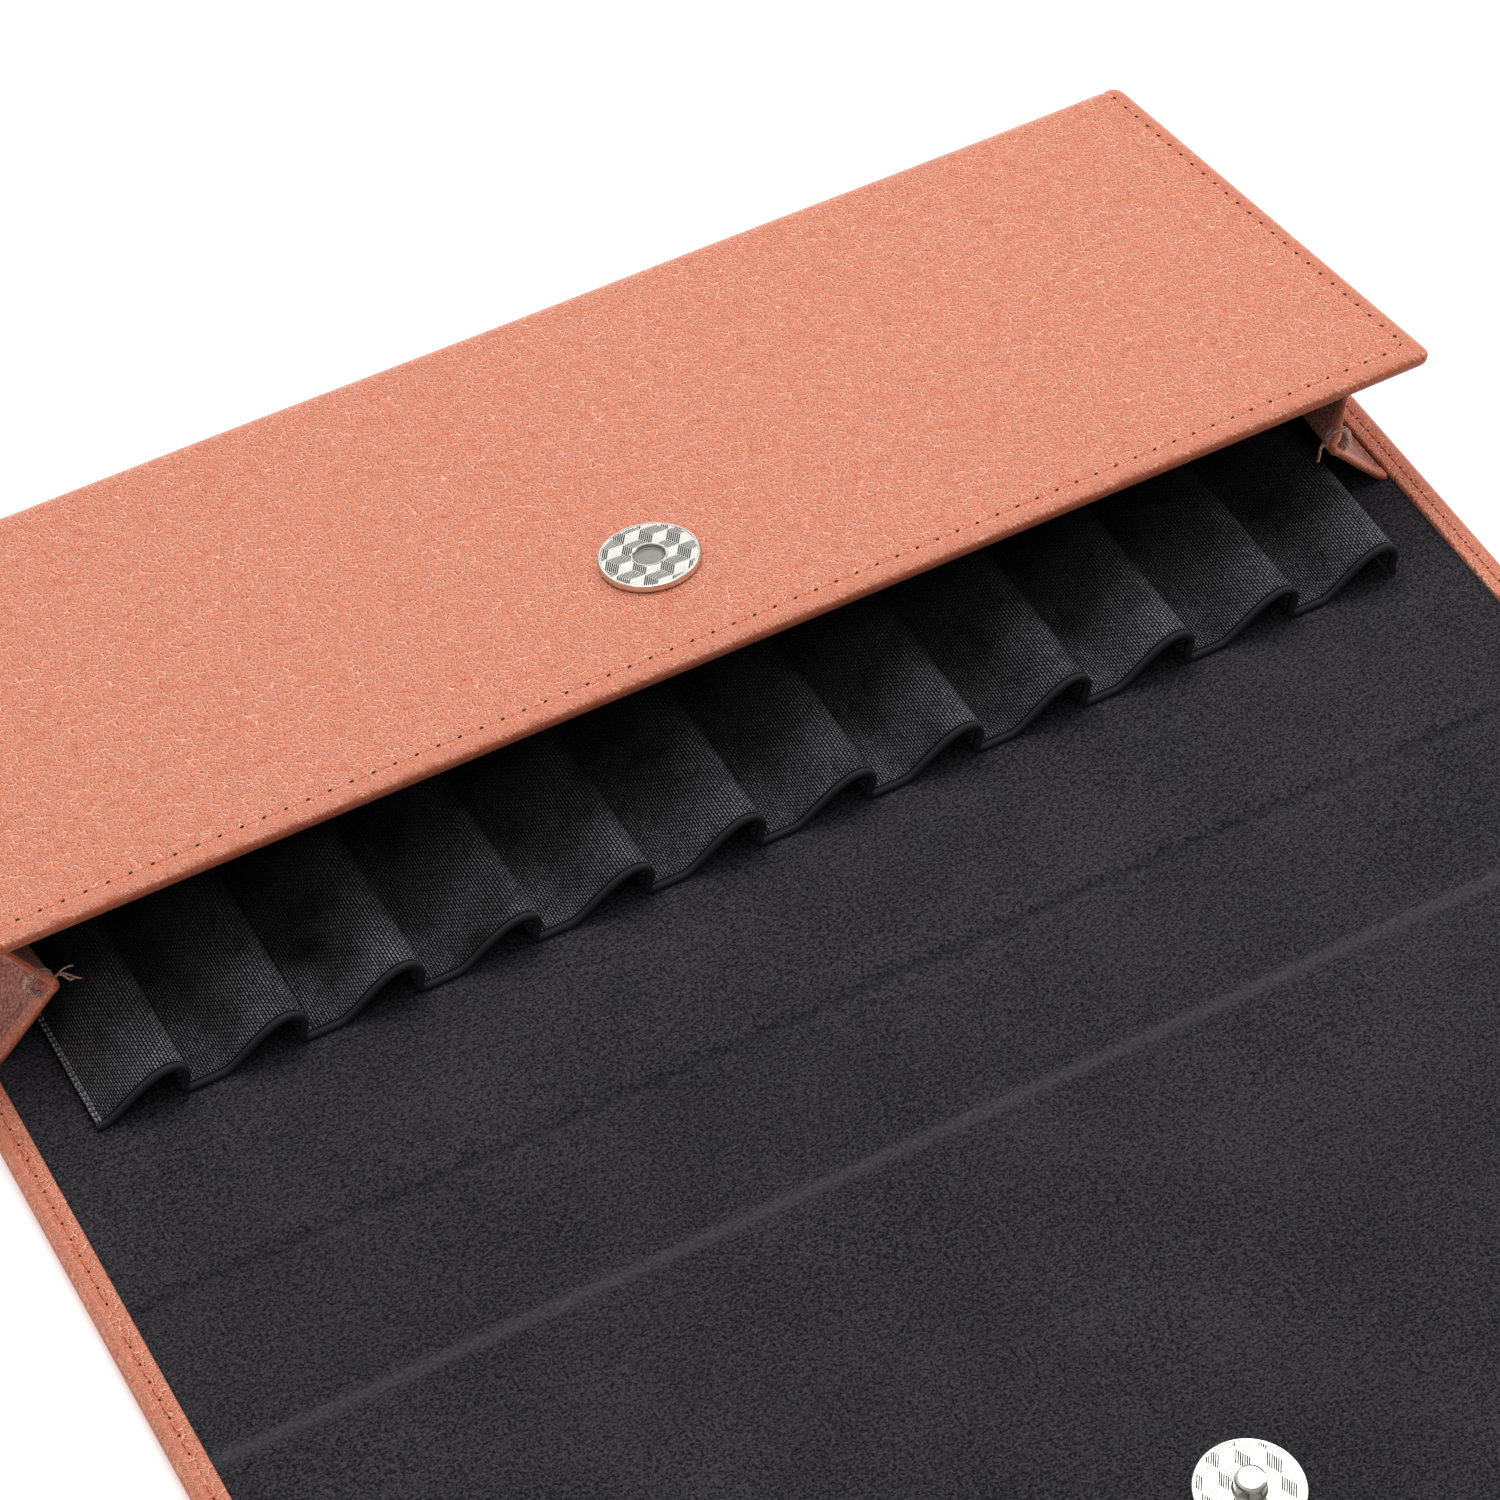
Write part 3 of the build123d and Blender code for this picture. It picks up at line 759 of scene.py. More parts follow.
@dataclass
class Cover:
    """A sheet of leather turned over at its sides, and at its far end when it has one.

    Layers: the outside, the turned edge's face, its underside, and the inside of the sheet.
    """

    name: str
    frame: Frame
    place: Callable[[Array, Array, Array], Array]
    start: float
    end: float
    end_turned: bool
    fine_at: list[tuple] = field(default_factory=list)
    edge: EdgeShape = field(default_factory=EdgeShape)
    side_seam: float = 3.0 * MM
    end_seam: float = 4.2 * MM
    outer_seam: bool = True
    sign: int = 1
    # with -1 the turned strip's inset counts below 0, so the strip takes the rim's painted shade
    under_mark: int = 1
    waver_height: float = 0.06 * MM
    waver_start: float = 6 * MM
    waver_reach: float = 8 * MM
    grain_lean: float = 0.7

    # insets of the rows of points along a turned edge, in millimetres
    edge_rows: tuple = (0, 0.12, 0.3, 0.5, 0.75, 1.0, 1.2, 1.5, 1.8, 2.1, 2.4, 2.65, 2.85, 3.0, 3.15, 3.35,
                        3.6, 3.8, 4.0, 4.2, 4.4, 4.6, 4.8, 5.0, 5.15, 5.28, 5.4)

    def insets(self, x: Array, along: Array) -> tuple[Array, Array, Array, Array]:
        """Distances from the side, from the turned end, and from the nearest edge.

        Args:
            x: Across the case.
            along: Along the cover.

        Returns:
            Side inset, end inset, nearest inset, and the place (x, along) with rounded corners.
        """
        side = self.frame.half_width - np.abs(x)
        far = self.sign * (self.end - along) if self.end_turned else np.full_like(side, 1.0)
        r = self.edge.corner
        a, b = np.maximum(r - side, 0), np.maximum(r - far, 0)
        a2, b2 = a * np.sqrt(1 - b * b / (2 * r * r)), b * np.sqrt(1 - a * a / (2 * r * r))
        nearest = np.where((a > 0) & (b > 0), r - np.hypot(a2, b2), np.minimum(side, far))
        moved = np.stack([x + np.sign(x) * (a2 - a), along + self.sign * (b2 - b)], axis=-1)
        return side, far, nearest, moved

    def build(self) -> bpy.types.Mesh:
        """Make the cover's closed mesh."""
        e, f = self.edge, self.frame
        near = np.array(self.edge_rows) * MM
        inner = fine_lines(-f.half_width + near[-1], f.half_width - near[-1], 4 * MM, [])
        xs = np.concatenate([-f.half_width + near[:-1], inner, f.half_width - near[:-1][::-1]])
        low, high = sorted((self.start, self.end))
        trim = near[-1] if self.end_turned else 0.0
        ends = (low + (trim if self.sign < 0 else 0), high - (trim if self.sign > 0 else 0))
        lines = fine_lines(*ends, 3 * MM, self.fine_at)
        if self.end_turned:
            turned = self.end - self.sign * near[:-1]
            lines = np.sort(np.concatenate([lines, turned]))
        x, s = np.meshgrid(xs, lines, indexing="ij")
        side, far, inset, moved = self.insets(x, s)

        waves = np.sin(x * 61 + 1.3) * np.sin(s * 83 + 0.4) + 0.5 * np.sin(x * 23 - s * 47)
        off_edge = np.clip((inset - self.waver_start) / self.waver_reach, 0, 1)
        face_sink = e.ease(inset, e.meet * f.edge_height, e.roll) + self.waver_height * waves * off_edge
        strip_sink = e.ease(inset, (1 - e.meet) * f.edge_height, e.under_roll)
        seams = e.seam(side, self.side_seam) * (far > self.end_seam * 0.6)
        if self.end_turned:
            seams = np.where(far - self.end_seam < side - self.side_seam, e.seam(far, self.end_seam), seams)
        fade = np.clip(inset / e.roll, 0, 1)
        if self.outer_seam:
            face_sink = face_sink + seams * fade
        lip = np.clip((inset - (e.turned_width - e.lip)) / e.lip, 0, 1)
        strip_sink = strip_sink + seams * fade + e.lip * (1 - np.sqrt(1 - lip * lip))

        depths = [face_sink, f.edge_height - strip_sink, np.full_like(x, f.stack), np.full_like(x, f.leather)]
        points = np.stack([self.place(moved[..., 0], moved[..., 1], d) for d in depths])
        index = np.arange(4 * x.size).reshape(4, *x.shape)
        rim = np.minimum(side, far)
        middle = (rim[:-1, :-1] + rim[1:, 1:] + rim[1:, :-1] + rim[:-1, 1:]) / 4
        strip, core = middle < e.turned_width, middle > f.leather
        outside, turned, under, inside = index
        faces = grid_faces(outside) + grid_faces(turned, strip)
        faces += grid_faces(under, strip & core) + grid_faces(inside, core)
        faces += border_faces(strip, turned, under, outer=False)
        faces += border_faces(core, under, inside, outer=False)
        faces += self.end_caps(strip, core, outside, inside, under, turned)
        marks = np.array([1, self.under_mark, 1, 1])[:, None, None]
        fall = self.grain_lean * np.stack(depths)
        uv = np.stack([np.broadcast_to(s, fall.shape), marks * inset, x - fall, s - fall], axis=-1)
        return mesh_from(self.name, points, faces, uv=uv)

    def end_caps(self, strip: Array, core: Array, outside: Array, inside: Array, under: Array,
                 turned: Array) -> list:
        """Faces that close the cover at each end where it isn't turned.

        Args:
            strip: Cells of the turned edge.
            core: Cells within the turned leather's thickness.
            outside, inside, under, turned: Vertex numbers of the four layers.

        Returns:
            The faces.
        """
        first_open = self.sign > 0 or not self.end_turned
        last_open = self.sign < 0 or not self.end_turned
        faces = []
        for column, is_open in ((0, first_open), (-1, last_open)):
            for i in range(strip.shape[0] if is_open else 0):
                a, b = (i, column), (i + 1, column)
                stack = [outside]
                if core[a]:
                    stack.append(inside)
                if strip[a]:
                    stack += [under, turned] if core[a] else [turned]
                faces += [[low[a], low[b], high[b], high[a]] for low, high in zip(stack[::2], stack[1::2])]
        return faces


def slab(name: str, top: Array, bottom: Array, uv: Optional[Array] = None) -> bpy.types.Mesh:
    """Make a closed sheet from two grids of points.

    Args:
        name: The mesh's name.
        top: Points of one face, as rows and columns.
        bottom: Points of the other face.
        uv: A (u, v) for each grid point, used for both faces.

    Returns:
        The mesh.
    """
    index = np.arange(2 * top[..., 0].size).reshape(2, *top.shape[:2])
    cells = np.ones((top.shape[0] - 1, top.shape[1] - 1), bool)
    faces = grid_faces(index[0]) + grid_faces(index[1]) + border_faces(cells, index[0], index[1], outer=True)
    both = None if uv is None else np.stack([uv] * 2)
    return mesh_from(name, np.stack([top, bottom]), faces, uv=both)


def smooth_line(points: Sequence[tuple], per_span: int) -> Array:
    """Run a Catmull-Rom line through points.

    Args:
        points: Places in any number of dimensions.
        per_span: How many steps lie between two of them.

    Returns:
        The line's points.
    """
    p = np.array(points, float)
    p = np.concatenate([[2 * p[0] - p[1]], p, [2 * p[-1] - p[-2]]])
    t = np.linspace(0, 1, per_span, endpoint=False)[:, None]
    spans = [
        0.5 * (2 * b + (c - a) * t + (2 * a - 5 * b + 4 * c - d) * t ** 2 + (3 * b - a - 3 * c + d) * t ** 3)
        for a, b, c, d in zip(p[:-3], p[1:-2], p[2:-1], p[3:])
    ]
    return np.concatenate([*spans, p[-2:-1]])


def lathe(
    name: str, profile: Sequence[tuple], segments: int, base: Vector, axes: Sequence[Vector]
) -> bpy.types.Mesh:
    """Turn a closed profile about an axis.

    Args:
        name: The mesh's name.
        profile: (radius, height) of each point, in order round the section.
        segments: Steps round the axis.
        base: Where radius and height are 0.
        axes: The two axes across and the axis of height.

    Returns:
        The mesh.
    """
    r, h = np.array(profile).T
    turn = np.linspace(0, 2 * math.pi, segments, endpoint=False)
    across, along, up = (np.array(a) for a in axes)
    ring = np.cos(turn)[:, None] * across + np.sin(turn)[:, None] * along
    points = np.array(base) + r[None, :, None] * ring[:, None, :] + h[None, :, None] * up
    index = np.arange(points[..., 0].size).reshape(points.shape[:2])
    closed = np.pad(index, ((0, 1), (0, 1)), mode="wrap")
    return mesh_from(name, points, grid_faces(closed))


# ------------------------------------------------------------------ geometry node trees


class PathTree:
    """A geometry node tree that follows the edges of a mesh, and the piece it makes."""

    inputs: tuple = ()

    def __init__(self, name: str) -> None:
        """Start the tree with its named inputs."""
        self.group = bpy.data.node_groups.new(name, "GeometryNodeTree")
        face = self.group.interface
        face.new_socket("Path", in_out="INPUT", socket_type="NodeSocketGeometry")
        for label, kind in self.inputs:
            face.new_socket(label, in_out="INPUT", socket_type=kind)
        face.new_socket("Piece", in_out="OUTPUT", socket_type="NodeSocketGeometry")
        self.tree = Tree(self.group)
        self.given = self.tree.add("NodeGroupInput").outputs
        end = self.tree.add("NodeGroupOutput")
        self.tree.feed(end.inputs["Piece"], self.grow())

    def grow(self) -> bpy.types.NodeSocket:
        """Build the tree and return its last geometry."""
        raise NotImplementedError

    def make(self, name: str, paths: Sequence[Array], **values) -> bpy.types.Object:
        """Grow a piece along paths.

        Args:
            name: The piece's name.
            paths: Points of each path.
            values: The tree's inputs, with _ for a space.

        Returns:
            The piece, as a plain mesh with no modifier.
        """
        mesh = bpy.data.meshes.new(name)
        points = np.concatenate([np.asarray(p, float) for p in paths])
        starts = np.cumsum([0] + [len(p) for p in paths[:-1]])
        edges = [(s + i, s + i + 1) for s, p in zip(starts, paths) for i in range(len(p) - 1)]
        mesh.from_pydata(points.tolist(), edges, [])
        source = new_object(name + "_path", mesh, smooth=False)
        modifier = source.modifiers.new("grow", "NODES")
        modifier.node_group = self.group
        sockets = {i.name: i.identifier for i in self.group.interface.items_tree if i.in_out == "INPUT"}
        for key, value in values.items():
            modifier[sockets[key.replace("_", " ")]] = value
        made = bpy.data.meshes.new_from_object(source.evaluated_get(bpy.context.evaluated_depsgraph_get()))
        bpy.data.objects.remove(source)
        made.name = name
        while len(made.materials) and made.materials[0] is None:
            made.materials.pop(index=0)
        return new_object(name, made)


class StitchTree(PathTree):
    """Stitches at an even pitch, each a short arc of thread between two needle holes."""

    inputs = (
        ("Pitch", "NodeSocketFloat"),
        ("Share", "NodeSocketFloat"),
        ("Thread Radius", "NodeSocketFloat"),
        ("Rise", "NodeSocketFloat"),
        ("Hole Size", "NodeSocketVector"),
        ("Slant", "NodeSocketFloat"),
        ("Normal", "NodeSocketVector"),
        ("Thread", "NodeSocketMaterial"),
        ("Hole", "NodeSocketMaterial"),
    )

    def grow(self) -> bpy.types.NodeSocket:
        """Place one stitch on each step of the path."""
        t, given = self.tree, self.given
        half = t.math("MULTIPLY", t.math("MULTIPLY", given["Pitch"], given["Share"]), 0.5)
        sunk = t.math("MULTIPLY", given["Thread Radius"], -1.6)
        begin = t.add("ShaderNodeCombineXYZ", X=t.math("MULTIPLY", half, -1.0), Z=sunk).outputs[0]
        middle = t.add("ShaderNodeCombineXYZ", Z=given["Rise"]).outputs[0]
        finish = t.add("ShaderNodeCombineXYZ", X=half, Z=sunk).outputs[0]
        arc = t.add("GeometryNodeCurveQuadraticBezier", Resolution=6, Start=begin, Middle=middle, End=finish)
        ring = t.add("GeometryNodeCurvePrimitiveCircle", Resolution=6, Radius=given["Thread Radius"])
        thread = t.add("GeometryNodeCurveToMesh", Curve=arc.outputs[0], Profile_Curve=ring.outputs[0])
        thread = t.add("GeometryNodeSetMaterial", Geometry=thread.outputs[0], Material=given["Thread"])
        # needle hole: a dark ellipsoid, painted shade standing in for the hole's hollow
        pit = t.add("GeometryNodeMeshUVSphere", Segments=10, Rings=6, Radius=1.0)
        at_hole = t.add("ShaderNodeCombineXYZ", X=t.math("MULTIPLY", given["Pitch"], 0.5)).outputs[0]
        turn = t.add("ShaderNodeCombineXYZ", Z=given["Slant"]).outputs[0]
        pit = t.add("GeometryNodeTransform", Geometry=pit.outputs[0], Translation=at_hole, Rotation=turn,
                    Scale=given["Hole Size"])
        pit = t.add("GeometryNodeSetMaterial", Geometry=pit.outputs[0], Material=given["Hole"])
        stitch = t.add("GeometryNodeJoinGeometry")
        for part in (thread, pit):
            t.tree.links.new(part.outputs[0], stitch.inputs[0])
        curve = t.add("GeometryNodeMeshToCurve", Mesh=given["Path"])
        steps = t.add("GeometryNodeCurveToPoints", {"mode": "LENGTH"}, Curve=curve.outputs[0],
                      Length=given["Pitch"])
        upright = t.add("FunctionNodeAlignRotationToVector", {"axis": "Z"}, Vector=given["Normal"])
        ahead = t.add("FunctionNodeAlignRotationToVector", {"axis": "X", "pivot_axis": "Z"},
                      Rotation=upright.outputs[0], Vector=steps.outputs["Tangent"])
        copies = t.add("GeometryNodeInstanceOnPoints", Points=steps.outputs["Points"],
                       Instance=stitch.outputs[0], Rotation=ahead.outputs[0])
        return t.add("GeometryNodeRealizeInstances", Geometry=copies.outputs[0]).outputs[0]


class StrandTree(PathTree):
    """A strand of thread, or an engraved line, along each path."""

    inputs = (("Radius", "NodeSocketFloat"), ("Sides", "NodeSocketInt"), ("Finish", "NodeSocketMaterial"))

    def grow(self) -> bpy.types.NodeSocket:
        """Sweep a small ring along the paths."""
        t, given = self.tree, self.given
        curve = t.add("GeometryNodeMeshToCurve", Mesh=given["Path"])
        ring = t.add("GeometryNodeCurvePrimitiveCircle", Resolution=given["Sides"], Radius=given["Radius"])
        tube = t.add("GeometryNodeCurveToMesh", Curve=curve.outputs[0], Profile_Curve=ring.outputs[0],
                     Fill_Caps=True)
        tube = t.add("GeometryNodeRealizeInstances", Geometry=tube.outputs[0])
        return t.add("GeometryNodeSetMaterial", Geometry=tube.outputs[0], Material=given["Finish"]).outputs[0]


# ------------------------------------------------------------------ sub-assemblies


def settle(piece: bpy.types.Object, nodes: Sequence[str] = (), body: Optional[str] = None,
           blend: Optional[tuple] = None) -> bpy.types.Object:
    """Tie a piece to the frame, or bake a piece that crosses a joint in place, and report it.

    Args:
        piece: The finished piece.
        nodes: CAD nodes that it stands for.
        body: The body it rides on.
        blend: (body, body, start, end) for a piece that crosses a joint; such a piece is baked in place on no
            body, start and end are not used, and the two bodies are only logged.

    Returns:
        The piece.
    """
    if blend:
        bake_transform(piece)
    else:
        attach(piece, body)
    if nodes:
        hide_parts(*nodes)
    log.info("%s: %d faces, on %s", piece.name, len(piece.data.polygons), body or blend[:2])
    return piece


@dataclass
class Covers:
    """The leather and the lining of the whole case, in three sheets that meet on the spine and
    at the start of the bottom fold."""

    frame: Frame
    kit: Kit
    bend_reach: float = 2.2 * MM
    lining_lap: float = 1.5 * MM
    lining_thickness: float = 0.45 * MM
    valley_depth: float = 0.38 * MM
    ridge_height: float = 0.16 * MM
    crease_width: float = 1.5 * MM

    def joints(self) -> dict:
        f, reach = self.frame, self.bend_reach
        return {
            "back": ("back", "spine", (0, f.crease_y + reach, 0), (0, f.crease_y - reach, 0)),
            "flap": ("spine", "flap", (0, f.flap_crease_y + reach, 0), (0, f.flap_crease_y - reach, 0)),
            "front": ("back", "front_panel", (0, 0, 2 * MM), (0, 0, 11.5 * MM)),
        }

    def build(self) -> None:
        """Make the covers and the linings."""
        f = self.frame
        creases = [(f.crease_y, 3 * MM, 0.4 * MM), (f.flap_crease_y, 3 * MM, 0.4 * MM)]
        arc = f.bend_arc
        front_edge = EdgeShape(under_roll=3.0 * MM, meet=0.34)
        covers = {
            "back": Cover("back_cover", f, f.on_flat, f.bend_y, f.spine_middle_y, False, creases, sign=-1),
            "flap": Cover("flap_cover", f, f.on_flat, f.spine_middle_y, f.flap_end_y, True, creases, sign=-1),
            # the front's turned strip, under the mouth, is marked as an underside so that it takes the rim's
            # painted shade
            "front": Cover("front_cover", f, f.on_front, 0.0, arc + f.front_length, True,
                           [(arc / 2, arc / 2 + 1 * MM, 0.5 * MM)], edge=front_edge, under_mark=-1),
        }
        stands_for = {
            "back": ["back_leather"],
            "flap": ["spine_leather", "flap_leather"],
            "front": ["front_leather", "bottom_fold_leather"],
        }
        for key, cover in covers.items():
            piece = new_object(cover.name, cover.build(), self.kit.leather)
            settle(piece, stands_for[key], blend=self.joints()[key])
        self.lay_lining("back", f.on_flat, f.bend_y, f.spine_middle_y, ["back_lining"])
        self.lay_lining("flap", f.on_flat, f.spine_middle_y, f.flap_end_y, ["spine_lining", "flap_lining"])
        self.lay_lining("front", f.on_front, 0.0, arc + f.front_length,
                        ["front_lining", "bottom_fold_lining"])

    def lay_lining(self, key: str, place: Callable, start: float, end: float, nodes: list) -> None:
        """Lay one sheet of lining between the turned edges.

        Args:
            key: Which sheet it belongs to.
            place: Puts (x, along, depth) in space.
            start: Where it starts along the sheet.
            end: Where it ends.
            nodes: CAD nodes that it stands for.
        """
        f = self.frame
        free_end = key != "back"
        tuck = 4.0 * MM if free_end else 0.0
        end -= math.copysign(tuck, end - start)
        half = f.half_width - 5.4 * MM + self.lining_lap
        xs = fine_lines(-half, half, 4 * MM, [])
        fine = [(f.crease_y, 4 * MM, 0.4 * MM), (f.flap_crease_y, 4 * MM, 0.4 * MM)]
        if key == "front":
            fine = [(f.bend_arc / 2, f.bend_arc / 2 + 1 * MM, 0.5 * MM)]
        lines = fine_lines(*sorted((start, end)), 3 * MM, fine)
        x, s = np.meshgrid(xs, lines, indexing="ij")
        depth = np.full_like(x, f.stack - 0.02 * MM)
        fold = np.full_like(x, 0.5)
        depth += 0.05 * MM * np.sin(x * 70 + 0.7) * np.sin(s * 90) * (np.abs(x) < half - 4 * MM)
        if key != "front":
            valley = np.exp(-(((s - f.crease_y) / self.crease_width) ** 2))
            ridge = np.exp(-(((s - f.flap_crease_y) / self.crease_width) ** 2))
            depth += self.ridge_height * ridge - self.valley_depth * valley
            on_spine = (s < f.crease_y) & (s > f.flap_crease_y)
            # crease map for the lining: lighter on the ridge for its flattened nap and painted highlight,
            # painted shade in the valley, and a faint painted shade over the spine
            fold += 0.5 * ridge - 0.2 * valley - 0.08 * on_spine * (1 - valley) * (1 - ridge)
        lower = np.full_like(x, f.stack - self.lining_thickness - self.valley_depth)
        mesh = slab(f"{key}_suede", place(x, s, depth), place(x, s, lower), uv=np.stack([s, fold], axis=-1))
        piece = new_object(f"{key}_suede", mesh, self.kit.lining)
        piece = settle(piece, nodes, blend=self.joints()[key])


@dataclass
class Seams:
    """The seams along the edges of every panel."""

    frame: Frame
    kit: Kit
    tree: StitchTree
    side_inset: float = 3.0 * MM
    end_inset: float = 4.2 * MM
    pitch: float = 3.96 * MM
    border_pitch: float = 3.5 * MM
    sink: float = 0.12 * MM
    # the mouth's seam is drawn tight into its holes; the border's thread stands up from small ones
    rise: tuple = (0.16 * MM, 0.62 * MM)
    hole: tuple = ((0.42 * MM, 0.25 * MM, 0.2 * MM), (0.28 * MM, 0.2 * MM, 0.16 * MM))
    run_points: int = 60
    share: float = 0.86
    thread_radius: float = 0.17 * MM
    slant: float = 0.35

    def sew(self, name: str, paths: list, normal: Vector, pitch: float, body: str,
            nodes: Sequence[str] = ()) -> None:
        """Make the stitches of some seams that lie in one plane."""
        kind = int(pitch != self.pitch)  # 0 on the outside, 1 on the turned edges
        piece = self.tree.make(
            name, paths, Pitch=pitch, Share=self.share, Thread_Radius=self.thread_radius,
            Rise=self.rise[kind], Hole_Size=self.hole[kind], Slant=self.slant, Normal=tuple(normal),
            Thread=self.kit.thread, Hole=self.kit.hole,
        )
        settle(piece, nodes, body=body)

    def lines(
        self, place: Callable, depth: float, start: float, end: float, end_line: Optional[float]
    ) -> list:
        """Paths of the two side seams, and of the end seam when there is one.

        Args:
            place: Puts (x, along, depth) in space.
            depth: Depth of the sunk thread.
            start: Where the side seams start.
            end: Where they end.
            end_line: Where the seam across the end lies, if there is one.

        Returns:
            The paths.
        """
        x = self.frame.half_width - self.side_inset
        if end_line is None:
            return [place(np.array([side, side]), np.array([start, end]), depth) for side in (-x, x)]
        corners = np.array([(-x, start), (-x, end_line), (x, end_line), (x, start)])
        runs = [np.linspace(a, b, self.run_points, endpoint=False)
                for a, b in zip(corners[:-1], corners[1:])]
        xs, ss = np.concatenate([*runs, corners[-1:]]).T
        return [place(xs, ss, depth)]

    def build(self) -> None:
        """Sew every edge."""
        f, up = self.frame, Vector((0, 0, 1))
        top = f.edge_height - self.sink
        gap, fold_gap = 2.4 * MM, f.edge_height + 1 * MM
        flap_end = f.flap_end_y + self.end_inset
        front_end = f.bend_arc + f.front_length - self.end_inset
        outward = Vector((0, math.sin(f.tilt), math.cos(f.tilt)))
        flat_seams = {
            "back": (f.bend_y - 6 * MM, f.crease_y + fold_gap, None),
            "spine": (f.crease_y - fold_gap, f.flap_crease_y + fold_gap, None),
            "flap": (f.flap_crease_y - fold_gap, flap_end, flap_end),
        }
        for panel, (start, end, end_line) in flat_seams.items():
            self.sew(f"{panel}_stitches", self.lines(f.on_flat, top, start, end, end_line), up,
                     self.border_pitch, panel, [f"{panel}_edge_thread"])
        self.sew("front_stitches", self.lines(f.on_front, self.sink, f.bend_arc + gap, front_end, front_end),
                 outward, self.pitch, "front_panel", ["front_edge_thread"])
        inner = self.lines(f.on_front, top, f.bend_arc + gap, front_end, front_end)
        self.sew("front_inside_stitches", inner, -outward, self.pitch, "front_panel")


